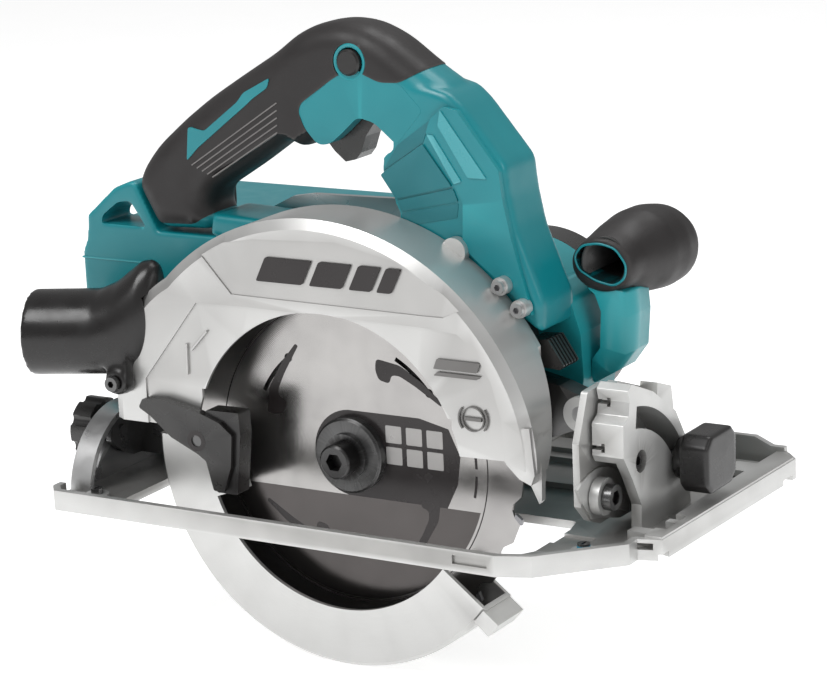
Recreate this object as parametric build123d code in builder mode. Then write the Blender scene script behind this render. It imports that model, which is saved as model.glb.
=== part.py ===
"""Cordless circular saw with a right-hand blade, two battery packs and a tilting base.

Millimetres. +X is the cutting direction, +Y the operator's left, +Z up. The blade turns in the
plane Y = 0, its arbor stands over X = 0, and Z = 0 is the sole, the underside of the base.
"""

import os
from math import asin, atan2, cos, degrees, hypot, pi, radians, sin

from build123d import *

# ---- driving dimensions -------------------------------------------------------------------
ARBOR_Z = 29.0                      # arbor height over the sole at full depth
BLADE_R = 95.0                      # 190 mm blade
BLADE_BODY = 1.4                    # plate thickness
KERF = 2.0                          # width over the carbide tips
BLADE_TEETH = 24
SPINDLE_R = 7.45                    # spindle journal
RUN_FIT = 0.05                      # radial clearance of a running fit

CASE_RIGHT = -25.0                  # right face of the blade case
CASE_BACK = 7.4                     # back of the blade case
CASE_WALL = 2.6
CASE_OPENING_R = 74.8
BACK_PLATE_Y = (7.4, 10.4)          # plate that closes the case on the motor side

GUARD_R = 102.2                     # lower guard, outer radius
GUARD_RING_R = 73.7                 # inner edge of its right-hand ring
GUARD_Y = (-18.0, 6.6)
GUARD_HUB_R = 25.0                  # gear housing nose that the guard turns on

HOUSING_Y = (10.6, 40.0)            # gear housing, front to back across the saw
MOTOR_AXIS = (46.0, 74.0)           # x and z of the motor shaft
MOTOR_R = 46.0
MOTOR_Y = (40.2, 100.0)
COVER_Y = (100.2, 124.0)

GEAR_MODULE = 1.0
SPINDLE_TEETH = 38
IDLER_TEETH = 40
PINION_TEETH = 11
GEAR_Y = (25.0, 33.0)

HANDLE_MID = 28.0                   # centre plane of the handle
HANDLE_HALF = 17.0
RUBBER = 2.0
HANDLE_SCREWS = ((-104.0, 158.0), (-66.0, 184.0), (40.0, 190.0), (62.0, 155.0))

PIVOT = (118.0, 58.0)               # x and z of the depth pivot pin
PIVOT_R = 4.0
DEPTH_TRAVEL = 30.0                 # degrees from full depth to almost none
GUIDE_RADIUS = 188.0                # depth guide slot, about the depth pivot
CLAMP_ANGLE = -12.0                 # where the depth clamp bolt stands on that arc

BEVEL_TRAVEL = 45.0                 # degrees; the bevel axis is the line Y = 0, Z = 0
SLOT_RADIUS = 61.0                  # front bevel slot, about the bevel axis
SLOT_REST = 29.0                    # angle of the front clamp bolt at zero bevel
REAR_SLOT_RADIUS = 27.0
REAR_SLOT_REST = 100.0

SOLE_THICKNESS = 4.0
RAIL_HEIGHT = 10.0
WALL_TOP = 11.2                     # top of the wall along the front edge of the base
GUIDE_SCREWS = ((138.0, -26.0), (-121.5, -46.0))

NOZZLE_SCREW = (-115.5, 60.5)       # x and z of the dust nozzle's screw

PACK_SIZE = (108.0, 55.0, 72.0)
PACK_X = -164.0
PACK_Z = 48.0
PACK_RIGHT_Y = (21.0, 81.5)         # right face of each battery pack

os.makedirs("parts", exist_ok=True)


# ---- helpers ------------------------------------------------------------------------------
def side(y):
    """Plane that faces the operator's right, with X to the right and Z up."""
    return Plane.XZ.offset(-y)


def front(x):
    """Plane that faces forward, with Y to the right and Z up."""
    return Plane.YZ.offset(x)


def block(x_span, y_span, z_span, mode=Mode.ADD):
    centre = tuple((low + high) / 2 for low, high in (x_span, y_span, z_span))
    with Locations(centre):
        Box(x_span[1] - x_span[0], y_span[1] - y_span[0], z_span[1] - z_span[0], mode=mode)


def rod_x(y, z, radius, x_span, mode=Mode.ADD):
    with Locations(((x_span[0] + x_span[1]) / 2, y, z)):
        Cylinder(radius, x_span[1] - x_span[0], rotation=(0, 90, 0), mode=mode)


def rod_y(x, z, radius, y_span, mode=Mode.ADD):
    with Locations((x, (y_span[0] + y_span[1]) / 2, z)):
        Cylinder(radius, y_span[1] - y_span[0], rotation=(90, 0, 0), mode=mode)


def rod_z(x, y, radius, z_span, mode=Mode.ADD):
    with Locations((x, y, (z_span[0] + z_span[1]) / 2)):
        Cylinder(radius, z_span[1] - z_span[0], mode=mode)


def slab_y(points, y_span, corner=0, shrink=0, mode=Mode.ADD):
    """Extrude a polygon of (x, z) points across the saw."""
    with BuildSketch(side(y_span[1])) as outline:
        with BuildLine():
            Polyline(*points, close=True)
        make_face()
        if corner:
            fillet(outline.vertices(), corner)
        if shrink:
            offset(amount=-shrink, mode=Mode.REPLACE)
    extrude(outline.sketch, amount=y_span[1] - y_span[0], mode=mode)


def slab_x(points, x_span, corner=0, mode=Mode.ADD):
    """Extrude a polygon of (y, z) points along the saw."""
    with BuildSketch(front(x_span[0])) as outline:
        with BuildLine():
            Polyline(*points, close=True)
        make_face()
        if corner:
            fillet(outline.vertices(), corner)
    extrude(outline.sketch, amount=x_span[1] - x_span[0], mode=mode)


def slab_z(points, z_span, corner=0, mode=Mode.ADD):
    """Extrude a polygon of (x, y) points upward."""
    with BuildSketch(Plane.XY.offset(z_span[0])) as outline:
        with BuildLine():
            Polyline(*points, close=True)
        make_face()
        if corner:
            fillet(outline.vertices(), corner)
    extrude(outline.sketch, amount=z_span[1] - z_span[0], mode=mode)


def polar(centre, radius, angle):
    """Point at an angle in degrees, counted from the first axis towards the second."""
    return (centre[0] + radius * cos(radians(angle)), centre[1] + radius * sin(radians(angle)))


def ring_segment(plane, centre, inner, outer, first, last, thickness, mode=Mode.ADD):
    """Ring segment with true arcs, extruded along the plane's normal."""
    middle = (first + last) / 2
    with BuildSketch(plane) as outline:
        with BuildLine():
            ThreePointArc(polar(centre, outer, first), polar(centre, outer, middle),
                          polar(centre, outer, last))
            Line(polar(centre, outer, last), polar(centre, inner, last))
            ThreePointArc(polar(centre, inner, last), polar(centre, inner, middle),
                          polar(centre, inner, first))
            Line(polar(centre, inner, first), polar(centre, outer, first))
        make_face()
    extrude(outline.sketch, amount=thickness, mode=mode)


def cap_screw(x, z, y_face, head_r=4.2, head=4.0, shank_r=2.4, shank=10.0, direction=-1):
    """Hex socket screw across the saw; direction -1 puts its head on the right."""
    head_span = sorted((y_face, y_face + direction * head))
    shank_span = sorted((y_face, y_face - direction * shank))
    socket_span = sorted((y_face + direction * head, y_face + direction * (head - 2.4)))
    rod_y(x, z, head_r, head_span)
    rod_y(x, z, shank_r, shank_span)
    with BuildSketch(side(socket_span[1])) as socket:
        with Locations((x, z)):
            RegularPolygon(head_r * 0.5, 6)
    extrude(socket.sketch, amount=socket_span[1] - socket_span[0], mode=Mode.SUBTRACT)


def gear_outline(teeth, module, phase):
    """Corner points of a spur gear with slim straight-sided teeth, phase in degrees."""
    pitch_r = teeth * module / 2
    pitch_angle = 360.0 / teeth
    points = []
    for i in range(teeth):
        middle = phase + i * pitch_angle
        for radius, share in ((pitch_r - 1.1 * module, -0.30), (pitch_r + 0.75 * module, -0.11),
                              (pitch_r + 0.75 * module, 0.11), (pitch_r - 1.1 * module, 0.30)):
            points.append(polar((0, 0), radius, middle + share * pitch_angle))
    return points


def gear(centre, teeth, phase, y_span):
    points = [(centre[0] + x, centre[1] + z) for x, z in gear_outline(teeth, GEAR_MODULE, phase)]
    slab_y(points, y_span)


def write(builder, name):
    builder.part.label = name
    export_step(builder.part, f"parts/{name}.step")


ARBOR = (0.0, ARBOR_Z)
CLAMP_PLACE = polar(PIVOT, GUIDE_RADIUS, 180 - CLAMP_ANGLE)


# ---- gear train layout --------------------------------------------------------------------
SPINDLE_GEAR_R = SPINDLE_TEETH * GEAR_MODULE / 2
IDLER_GEAR_R = IDLER_TEETH * GEAR_MODULE / 2
PINION_R = PINION_TEETH * GEAR_MODULE / 2
arbor_to_idler = SPINDLE_GEAR_R + IDLER_GEAR_R
idler_to_motor = IDLER_GEAR_R + PINION_R
arbor_to_motor = hypot(MOTOR_AXIS[0], MOTOR_AXIS[1] - ARBOR_Z)
motor_direction = degrees(atan2(MOTOR_AXIS[1] - ARBOR_Z, MOTOR_AXIS[0]))
along = (arbor_to_idler ** 2 - idler_to_motor ** 2 + arbor_to_motor ** 2) / (2 * arbor_to_motor)
bend = degrees(asin(min(1.0, (max(0.0, arbor_to_idler ** 2 - along ** 2)) ** 0.5
                        / arbor_to_idler)))
IDLER_AXIS = polar(ARBOR, arbor_to_idler, motor_direction - bend)
idler_seen = degrees(atan2(IDLER_AXIS[1] - ARBOR_Z, IDLER_AXIS[0]))
motor_seen = degrees(atan2(MOTOR_AXIS[1] - IDLER_AXIS[1], MOTOR_AXIS[0] - IDLER_AXIS[0]))
spindle_phase = idler_seen                                  # a tooth points at the idler
idler_phase = idler_seen + 180 + 180 / IDLER_TEETH          # and meets a gap there
idler_tooth = (motor_seen - idler_phase) / (360 / IDLER_TEETH)
pinion_phase = motor_seen + 180 + (0.5 + (idler_tooth - round(idler_tooth))) * 360 / PINION_TEETH


# ---- blade case ---------------------------------------------------------------------------
NOZZLE_MOUTH = (-168.0, -27.0, 80.0)
NOZZLE_R = 21.5
NOZZLE_YAW = 17.0
NOZZLE_LENGTH = 36.0                # clear length of tube behind the case, for a hose
NOZZLE_REACH = 60.0                 # whole length of the tube, up to inside the case wall
NOZZLE_PORT_R = 11.0
nozzle_dir = (cos(radians(NOZZLE_YAW)), sin(radians(NOZZLE_YAW)), 0.03)
mouth_plane = Plane(origin=NOZZLE_MOUTH, x_dir=(sin(radians(NOZZLE_YAW)), -cos(radians(NOZZLE_YAW)), 0),
                    z_dir=nozzle_dir)
foot_plane = Plane(origin=(-103.0, CASE_RIGHT, 91.0), x_dir=(-0.34, 0, -0.94), z_dir=(0, 1, 0))


def case_outline():
    """Outer edge of the case, from the rear bottom over the top to the front bottom."""
    Line((-123, 39.5), (-123, 60))
    ThreePointArc((-123, 60), (-113, 90), (-89, 113))
    ThreePointArc((-89, 113), (11, 147.5), (103, 82))
    ThreePointArc((103, 82), (111, 60), (113, 38))
    Line((113, 38), (97, 43))
    Line((97, 43), (-75, 39.5))
    Line((-75, 39.5), (-123, 39.5))


RIM_TAPER = [(9, 94), (0, 68), (-8, 46), (-15, 32), (-15, 10), (20, 10), (20, 94)]
with BuildPart() as blade_case:
    with BuildSketch(side(CASE_BACK)) as case_face:
        with BuildLine():
            case_outline()
        make_face()
    extrude(amount=CASE_BACK - CASE_RIGHT)
    rim_edges = blade_case.faces().sort_by(Axis.Y)[0].edges().filter_by(GeomType.CIRCLE)
    chamfer(rim_edges, length=3.0, length2=5.0)
    # pointed front tip of the rim, which runs on down in front of the blade
    slab_y([(95, 44), (97, 43), (105, 35.4), (111, 33), (113, 38), (111, 60), (107.6, 60)],
           (CASE_RIGHT + 0.4, -14.0))
    slab_y([(104, 42), (106, 34), (111.6, 22.6), (113.0, 24.2), (113.4, 38.5), (112, 56), (108, 56)],
           (-18.4, -14.0))
    # hollow, open at the bottom and on the motor side
    with BuildSketch(side(CASE_BACK)) as hollow:
        with BuildLine():
            case_outline()
        make_face()
        offset(amount=-CASE_WALL, mode=Mode.REPLACE)
        with BuildLine():
            Polyline((-120.4, 50), (110.4, 50), (107.6, 30), (-120.4, 30), close=True)
        make_face()
    extrude(amount=CASE_BACK - CASE_RIGHT - CASE_WALL, mode=Mode.SUBTRACT)
    rod_y(*ARBOR, CASE_OPENING_R, (CASE_RIGHT - 1, -22), mode=Mode.SUBTRACT)
    block((-70, 70), (CASE_RIGHT - 1, -22), (30, 60), mode=Mode.SUBTRACT)
    # sunken field around the opening, with the raised name field above it
    slab_y([(-103, 30), (-103, 62), (-70, 103), (-40, 103.5), (56, 102.5), (75, 101), (83, 95),
            (92, 80), (97, 62), (99, 30)], (CASE_RIGHT - 1, CASE_RIGHT + 0.9), mode=Mode.SUBTRACT)
    slab_y([(-69, 131), (-49, 109), (56, 108), (68, 108), (79, 113), (45, 132), (11, 139),
            (-35, 137)], (CASE_RIGHT - 1, CASE_RIGHT + 0.6), mode=Mode.SUBTRACT)
    # port under the dust nozzle and the hole of its screw
    with BuildSketch(mouth_plane.offset(NOZZLE_LENGTH)) as port:
        Circle(NOZZLE_PORT_R)
    extrude(port.sketch, amount=35, mode=Mode.SUBTRACT)
    rod_y(*NOZZLE_SCREW, 1.8, (CASE_RIGHT - 1, -22), mode=Mode.SUBTRACT)
    # the rim narrows towards its tip, away from the motor side
    slab_x(RIM_TAPER, (99, 125), mode=Mode.SUBTRACT)

CAST_BOSS = (56.5, 131.5)           # x and z of the boss half hidden behind the case's rim
case_screw_places = [polar(ARBOR, 120.3, angle) for angle in (47.2, 40.6)]
EAR_R = 4.3
EAR_FRONT = 4.4                     # front face of the ears, where the screw heads sit
with BuildPart() as case_back_plate:
    # screw ears and a cast boss that stand forward of the plate, outside the case
    for ear_x, ear_z in case_screw_places:
        rod_y(ear_x, ear_z, EAR_R, (EAR_FRONT, BACK_PLATE_Y[1]))
    rod_y(*CAST_BOSS, 6.5, (6.0, BACK_PLATE_Y[1]))
    with BuildSketch(side(BACK_PLATE_Y[1])) as inside_case:
        with BuildLine():
            case_outline()
        make_face()
    extrude(inside_case.sketch, amount=20, mode=Mode.SUBTRACT)
    # the plate itself
    with BuildSketch(side(BACK_PLATE_Y[1])) as back_face:
        with BuildLine():
            case_outline()
        make_face()
        with Locations(*case_screw_places):
            Circle(EAR_R)
        with Locations(CAST_BOSS):
            Circle(6.5)
    extrude(back_face.sketch, amount=BACK_PLATE_Y[1] - BACK_PLATE_Y[0])
    rod_y(*ARBOR, GUARD_HUB_R + 1.0, (0, 20), mode=Mode.SUBTRACT)
    slab_x(RIM_TAPER, (99, 125), mode=Mode.SUBTRACT)
    for screw_x, screw_z in case_screw_places:
        rod_y(screw_x, screw_z, 1.6, (0, 12), mode=Mode.SUBTRACT)

with BuildPart() as case_screws:
    for screw_x, screw_z in case_screw_places:
        cap_screw(screw_x, screw_z, EAR_FRONT, head_r=3.2, head=2.6, shank_r=1.6, shank=5.6)

write(blade_case, "blade_case")
write(case_back_plate, "case_back_plate")
write(case_screws, "case_screws")


# ---- gear housing, bearings and drive -----------------------------------------------------
with BuildPart() as gear_housing:
    # main box around the gears
    with BuildSketch(side(HOUSING_Y[1])) as box_outline:
        with Locations(ARBOR):
            Circle(22.5)
        with Locations(IDLER_AXIS):
            Circle(24.5)
        with Locations(MOTOR_AXIS):
            Circle(38)
        make_hull()
    extrude(amount=HOUSING_Y[1] - HOUSING_Y[0])
    # nose that carries the lower guard and the front spindle bearing
    rod_y(*ARBOR, GUARD_HUB_R - RUN_FIT, (3.6, HOUSING_Y[0] + 3))
    # forward leg to the depth pivot and rear arm to the depth clamp
    slab_y([(70, 48), (100, 44), (116, 50), (118, 66), (106, 70), (78, 76)], (14.0, 26.0), corner=1.0)
    rod_y(*PIVOT, PIVOT_R + 4.2, (14.0, 26.0))
    block((80, 104), (25.0, 39.8), (44, 58))
    slab_y([(-16, 12.5), (-70, 12.5), (-76, 17), (-76, 27), (-70, 31), (-16, 34)],
           (16.0, 24.0), corner=2)
    # cavity, bearing seats and shaft holes
    with BuildSketch(side(GEAR_Y[1] + 1.5)) as cavity:
        with Locations(ARBOR):
            Circle(SPINDLE_GEAR_R + 1.6)
        with Locations(IDLER_AXIS):
            Circle(IDLER_GEAR_R + 1.6)
        with Locations(MOTOR_AXIS):
            Circle(PINION_R + 3.5)
    extrude(amount=GEAR_Y[1] - GEAR_Y[0] + 3.0, mode=Mode.SUBTRACT)
    rod_y(*ARBOR, 16.0, (6.0, 24.0), mode=Mode.SUBTRACT)
    rod_y(*ARBOR, 11.0, (3.0, 6.5), mode=Mode.SUBTRACT)
    rod_y(*ARBOR, 11.0, (33.0, 38.5), mode=Mode.SUBTRACT)
    rod_y(*IDLER_AXIS, 4.0 + RUN_FIT, (19.0, 39.0), mode=Mode.SUBTRACT)
    rod_y(*MOTOR_AXIS, 4.6, (20.0, 41.0), mode=Mode.SUBTRACT)
    rod_y(*MOTOR_AXIS, 11.0, (35.0, 41.0), mode=Mode.SUBTRACT)
    rod_y(*PIVOT, PIVOT_R + RUN_FIT, (10, 30), mode=Mode.SUBTRACT)
    rod_y(*CLAMP_PLACE, 3.0, (10, 30), mode=Mode.SUBTRACT)
    # hole for the stem of the shaft lock button
    rod_x(21.0, 82.0, 3.0 + 0.08, (66, 90), mode=Mode.SUBTRACT)


def bearing_ring(axis, bore_r, outer_r, y_span):
    """Sealed ball bearing: ring with a shallow groove for the shield on both faces."""
    rod_y(*axis, outer_r, y_span)
    rod_y(*axis, bore_r, (y_span[0] - 1, y_span[1] + 1), mode=Mode.SUBTRACT)
    with BuildSketch(side(y_span[1])) as groove:
        with Locations(axis):
            Circle(outer_r - 2.0)
            Circle(bore_r + 2.0, mode=Mode.SUBTRACT)
    extrude(groove.sketch, amount=0.5, mode=Mode.SUBTRACT)


with BuildPart() as spindle_bearings:
    bearing_ring(ARBOR, SPINDLE_R + RUN_FIT, 16.0, (12.0, 21.0))
    bearing_ring(ARBOR, 5.0 + RUN_FIT, 11.0, (34.2, 38.4))

with BuildPart() as motor_bearings:
    bearing_ring(MOTOR_AXIS, 4.0 + RUN_FIT, 11.0, (35.2, 40.0))
    bearing_ring(MOTOR_AXIS, 4.0 + RUN_FIT, 9.5, (104.0, 110.0))

with BuildPart() as spindle:
    rod_y(*ARBOR, 5.0, (21.0, 37.8))
    rod_y(*ARBOR, SPINDLE_R, (3.4, 25.0))
    rod_y(*ARBOR, 7.0, (-3.0, 5.0))
    rod_y(*ARBOR, 4.0, (-17.0, 5.0), mode=Mode.SUBTRACT)

with BuildPart() as spindle_gear:
    gear(ARBOR, SPINDLE_TEETH, spindle_phase, (25.2, GEAR_Y[1]))
    rod_y(*ARBOR, 5.0, (20, 40), mode=Mode.SUBTRACT)

with BuildPart() as idler_gear:
    gear(IDLER_AXIS, IDLER_TEETH, idler_phase, GEAR_Y)
    rod_y(*IDLER_AXIS, 4.0, (19.4, 38.6))

with BuildPart() as rotor_shaft:
    gear(MOTOR_AXIS, PINION_TEETH, pinion_phase, (24.4, 33.6))
    rod_y(*MOTOR_AXIS, 4.0, (23.8, 112.0))

with BuildPart() as rotor_core:
    rod_y(*MOTOR_AXIS, 19.0, (54.0, 90.0))
    rod_y(*MOTOR_AXIS, 4.0, (50, 95), mode=Mode.SUBTRACT)
    for flat in range(6):
        hole_x, hole_z = polar(MOTOR_AXIS, 12.0, flat * 60)
        rod_y(hole_x, hole_z, 2.0, (50, 95), mode=Mode.SUBTRACT)

with BuildPart() as cooling_fan:
    rod_y(*MOTOR_AXIS, 36.0, (43.0, 45.0))
    rod_y(*MOTOR_AXIS, 9.0, (43.0, 51.0))
    for vane in range(14):
        angle = vane * 360 / 14
        inner = polar(MOTOR_AXIS, 16, angle)
        outer = polar(MOTOR_AXIS, 35.5, angle + 14)
        reach = (outer[0] - inner[0], outer[1] - inner[1])
        span = hypot(*reach)
        shift = (-reach[1] / span * 0.6, reach[0] / span * 0.6)
        slab_y([(inner[0] - shift[0], inner[1] - shift[1]), (outer[0] - shift[0], outer[1] - shift[1]),
                (outer[0] + shift[0], outer[1] + shift[1]), (inner[0] + shift[0], inner[1] + shift[1])],
               (44.5, 50.5))
    rod_y(*MOTOR_AXIS, 4.0, (40, 55), mode=Mode.SUBTRACT)

with BuildPart() as stator:
    rod_y(*MOTOR_AXIS, 37.0, (56.0, 88.0))
    rod_y(*MOTOR_AXIS, 31.0, (50, 95), mode=Mode.SUBTRACT)
    for pole in range(12):
        angle = pole * 30
        corners = [(19.8, -2.6), (21.4, -3.4), (21.4, -2.0), (32.0, -2.0), (32.0, 2.0), (21.4, 2.0),
                   (21.4, 3.4), (19.8, 2.6)]
        turned = [(MOTOR_AXIS[0] + r * cos(radians(angle)) - t * sin(radians(angle)),
                   MOTOR_AXIS[1] + r * sin(radians(angle)) + t * cos(radians(angle)))
                  for r, t in corners]
        slab_y(turned, (56.0, 88.0))

with BuildPart() as stator_windings:
    for pole in range(12):
        for offset_side in (-1, 1):
            angle = pole * 30 + offset_side * 7.2
            coil = polar(MOTOR_AXIS, 26.6, angle)
            rod_y(*coil, 1.2, (53.0, 91.0))
    for end_y in (52.0, 90.6):
        rod_y(*MOTOR_AXIS, 29.6, (end_y, end_y + 2.4))
        rod_y(*MOTOR_AXIS, 22.0, (end_y - 1, end_y + 4), mode=Mode.SUBTRACT)

for builder, name in ((gear_housing, "gear_housing"), (spindle_bearings, "spindle_bearings"),
                      (motor_bearings, "motor_bearings"), (spindle, "spindle"),
                      (spindle_gear, "spindle_gear"), (idler_gear, "idler_gear"),
                      (rotor_shaft, "rotor_shaft"), (rotor_core, "rotor_core"),
                      (cooling_fan, "cooling_fan"), (stator, "stator"),
                      (stator_windings, "stator_windings")):
    write(builder, name)


# ---- blade and its clamping ---------------------------------------------------------------
def blade_points():
    """Tooth and gullet corners of the blade plate, clockwise from the front."""
    pitch = 360.0 / BLADE_TEETH
    profile = ((BLADE_R - 1.0, 0.0), (BLADE_R - 4.4, 1.4), (BLADE_R - 6.2, 3.4),
               (BLADE_R - 6.0, 5.4), (BLADE_R - 2.2, 8.4), (BLADE_R - 1.6, 13.2))
    return [polar(ARBOR, radius, tooth * pitch + turn)
            for tooth in range(BLADE_TEETH) for radius, turn in profile]


with BuildPart() as saw_blade:
    slab_y(blade_points(), (-BLADE_BODY / 2, BLADE_BODY / 2))
    rod_y(*ARBOR, 10.0, (-2, 2), mode=Mode.SUBTRACT)
    # laser-cut vibration slots, a tapering crescent with a round root
    for slot in range(4):
        turn = 90 * slot + 38
        ring_segment(side(2), ARBOR, 55.0, 57.2, turn, turn + 24, 4, mode=Mode.SUBTRACT)
        rod_y(*polar(ARBOR, 56.1, turn), 2.2, (-2, 2), mode=Mode.SUBTRACT)

with BuildPart() as carbide_tips:
    for tooth in range(BLADE_TEETH):
        lead = tooth * 360.0 / BLADE_TEETH
        slab_y([polar(ARBOR, BLADE_R - 1.0, lead + 0.05), polar(ARBOR, BLADE_R, lead + 0.0),
                polar(ARBOR, BLADE_R - 0.3, lead + 1.6), polar(ARBOR, BLADE_R - 4.2, lead + 2.7),
                polar(ARBOR, BLADE_R - 4.3, lead + 1.45)],
               (-KERF / 2, KERF / 2))

with BuildPart() as inner_flange:
    rod_y(*ARBOR, 18.7, (BLADE_BODY / 2, 3.2))
    rod_y(*ARBOR, 9.95, (-BLADE_BODY / 2, 1.5))
    rod_y(*ARBOR, 7.0, (-4, 6), mode=Mode.SUBTRACT)

with BuildPart() as outer_flange:
    rod_y(*ARBOR, 18.7, (-6.4, -BLADE_BODY / 2))
    chamfer(outer_flange.edges().filter_by(GeomType.CIRCLE).sort_by(Axis.Y)[0], 1.2)
    rod_y(*ARBOR, 15.0, (-1.4, 0), mode=Mode.SUBTRACT)
    rod_y(*ARBOR, 7.0, (-8, 2), mode=Mode.SUBTRACT)

with BuildPart() as blade_bolt:
    rod_y(*ARBOR, 11.5, (-8.6, -6.4))
    rod_y(*ARBOR, 8.4, (-18.0, -6.4))
    chamfer(blade_bolt.edges().filter_by(GeomType.CIRCLE).sort_by(Axis.Y)[0], 1.0)
    rod_y(*ARBOR, 4.0, (-8, 4.6))
    with BuildSketch(side(-13.0)) as hex_socket:
        with Locations(ARBOR):
            RegularPolygon(4.6, 6)
    extrude(hex_socket.sketch, amount=6, mode=Mode.SUBTRACT)

for builder, name in ((saw_blade, "saw_blade"), (carbide_tips, "carbide_tips"),
                      (inner_flange, "inner_flange"), (outer_flange, "outer_flange"),
                      (blade_bolt, "blade_bolt")):
    write(builder, name)


# ---- lower guard --------------------------------------------------------------------------
GUARD_FIRST = 178.0                 # rear end of the guard, seen from the right
GUARD_LAST = 322.0                  # front lip
with BuildPart() as lower_guard:
    right_y, left_y = GUARD_Y
    # rim, rounded towards the right
    ring_segment(side(left_y), ARBOR, GUARD_R - 2.4, GUARD_R, GUARD_FIRST, GUARD_LAST, left_y - right_y)
    ring_segment(side(right_y + 2.2), ARBOR, GUARD_RING_R, GUARD_R, GUARD_FIRST, GUARD_LAST, 2.2)
    outer_edge = lower_guard.faces().sort_by(Axis.Y)[0].edges().filter_by(GeomType.CIRCLE)
    chamfer(outer_edge.sort_by(SortBy.LENGTH)[-1], 2.0)
    # left web and the hub that turns on the housing nose
    ring_segment(side(left_y), ARBOR, GUARD_HUB_R + 4, GUARD_R, GUARD_FIRST, GUARD_LAST, 2.2)
    rod_y(*ARBOR, GUARD_HUB_R + 5.0, (left_y - 2.2, left_y + 0.4))
    rod_y(*ARBOR, GUARD_HUB_R, (0, 12), mode=Mode.SUBTRACT)
    # inward lobe of the ring that carries the lever
    ring_segment(side(right_y + 2.2), ARBOR, 53.0, GUARD_RING_R + 1, 166.0, 200.0, 2.2)
    ring_segment(side(right_y + 2.2), ARBOR, GUARD_RING_R - 0.5, GUARD_RING_R + 0.5, 166.0, 180.0, 2.2)
    # front lip, flared outward
    ring_segment(side(left_y), ARBOR, GUARD_R - 1.0, GUARD_R + 9.0, 317.0, 321.5, left_y - right_y)

LEVER_Y = (-30.2, -25.5)
LEVER_SCREW = (-71.0, 35.0)
with BuildPart() as guard_lever:
    slab_y([(-104.5, 48.5), (-102, 53), (-91, 53.8), (-69, 49.6), (-57, 45.5), (-50, 40), (-51.5, 24),
            (-56.5, 10.6), (-62.4, 11), (-66, 25.4), (-71, 28.6), (-86, 35.3), (-98, 45)], LEVER_Y, corner=1.2)
    # foot that reaches through the case opening to the guard
    slab_y([(-67, 36), (-66, 50.6), (-47, 51), (-46.5, 40), (-50, 9.5), (-62, 9.5), (-65, 22)],
           (LEVER_Y[1] - 2.4, GUARD_Y[0]), corner=1.0)
    rod_y(*LEVER_SCREW, 1.8, (-40, 0), mode=Mode.SUBTRACT)
    rod_y(*LEVER_SCREW, 3.8, (-40, LEVER_Y[0] + 2.4), mode=Mode.SUBTRACT)

with BuildPart() as lever_screw:
    rod_y(*LEVER_SCREW, 3.6, (LEVER_Y[0] + 0.6, LEVER_Y[0] + 2.4))
    rod_y(*LEVER_SCREW, 1.8, (LEVER_Y[0] + 2.0, GUARD_Y[0]))

for builder, name in ((lower_guard, "lower_guard"), (guard_lever, "guard_lever"),
                      (lever_screw, "lever_screw")):
    write(builder, name)


# ---- motor housing ------------------------------------------------------------------------
with BuildPart() as motor_housing:
    rod_y(*MOTOR_AXIS, MOTOR_R, MOTOR_Y)
    # chin of the housing that reaches forward and down beside the gear housing leg
    slab_y([(60, 100), (88, 110), (99, 104), (104, 88), (105, 66), (103, 54), (96, 46), (78, 38), (60, 34)],
           (MOTOR_Y[0], 74.0), corner=4)
    rod_y(*MOTOR_AXIS, MOTOR_R - 3.0, (MOTOR_Y[0] + 3, MOTOR_Y[1] + 1), mode=Mode.SUBTRACT)
    rod_y(*MOTOR_AXIS, 37.0, (MOTOR_Y[0] - 1, MOTOR_Y[0] + 4), mode=Mode.SUBTRACT)
    for seat in range(4):
        seat_x, seat_z = polar(MOTOR_AXIS, 40.2, 45 + seat * 90)
        rod_y(seat_x, seat_z, 4.0, (54, 90))
    rod_y(*MOTOR_AXIS, 37.05, (50, 95), mode=Mode.SUBTRACT)
    # cooling slots round the rear half
    for slot in range(7):
        slot_x, slot_z = polar(MOTOR_AXIS, MOTOR_R, 120 + slot * 15)
        block((slot_x - 6, slot_x + 6), (92, 97), (slot_z - 1.5, slot_z + 1.5), mode=Mode.SUBTRACT)

with BuildPart() as motor_end_cover:
    rod_y(*MOTOR_AXIS, MOTOR_R, COVER_Y)
    chamfer(motor_end_cover.edges().filter_by(GeomType.CIRCLE).sort_by(Axis.Y)[-1], 6.0)
    rod_y(*MOTOR_AXIS, MOTOR_R - 3.0, (COVER_Y[0] - 1, COVER_Y[1] - 9), mode=Mode.SUBTRACT)
    rod_y(*MOTOR_AXIS, MOTOR_R - 10.0, (COVER_Y[1] - 11, COVER_Y[1] - 3), mode=Mode.SUBTRACT)
    rod_y(*MOTOR_AXIS, 12.5, (102, COVER_Y[1] - 1))
    rod_y(*MOTOR_AXIS, 9.5, (100, 110), mode=Mode.SUBTRACT)
    rod_y(*MOTOR_AXIS, 6.0, (100, 115), mode=Mode.SUBTRACT)
    for slot in range(16):
        angle = slot * 360 / 16 + 11.25
        ring_segment(side(COVER_Y[1] + 1), MOTOR_AXIS, 17.0, 34.0, angle - 3.5, angle + 3.5, 6,
                     mode=Mode.SUBTRACT)
    for boss in range(4):
        boss_x, boss_z = polar(MOTOR_AXIS, 39.5, 45 + boss * 90)
        rod_y(boss_x, boss_z, 3.6, (COVER_Y[0], COVER_Y[1] - 5))
        rod_y(boss_x, boss_z, 1.6, (COVER_Y[0] - 1, COVER_Y[1] + 1), mode=Mode.SUBTRACT)
        rod_y(boss_x, boss_z, 3.2, (COVER_Y[1] - 6.0, COVER_Y[1] + 1), mode=Mode.SUBTRACT)

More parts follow.
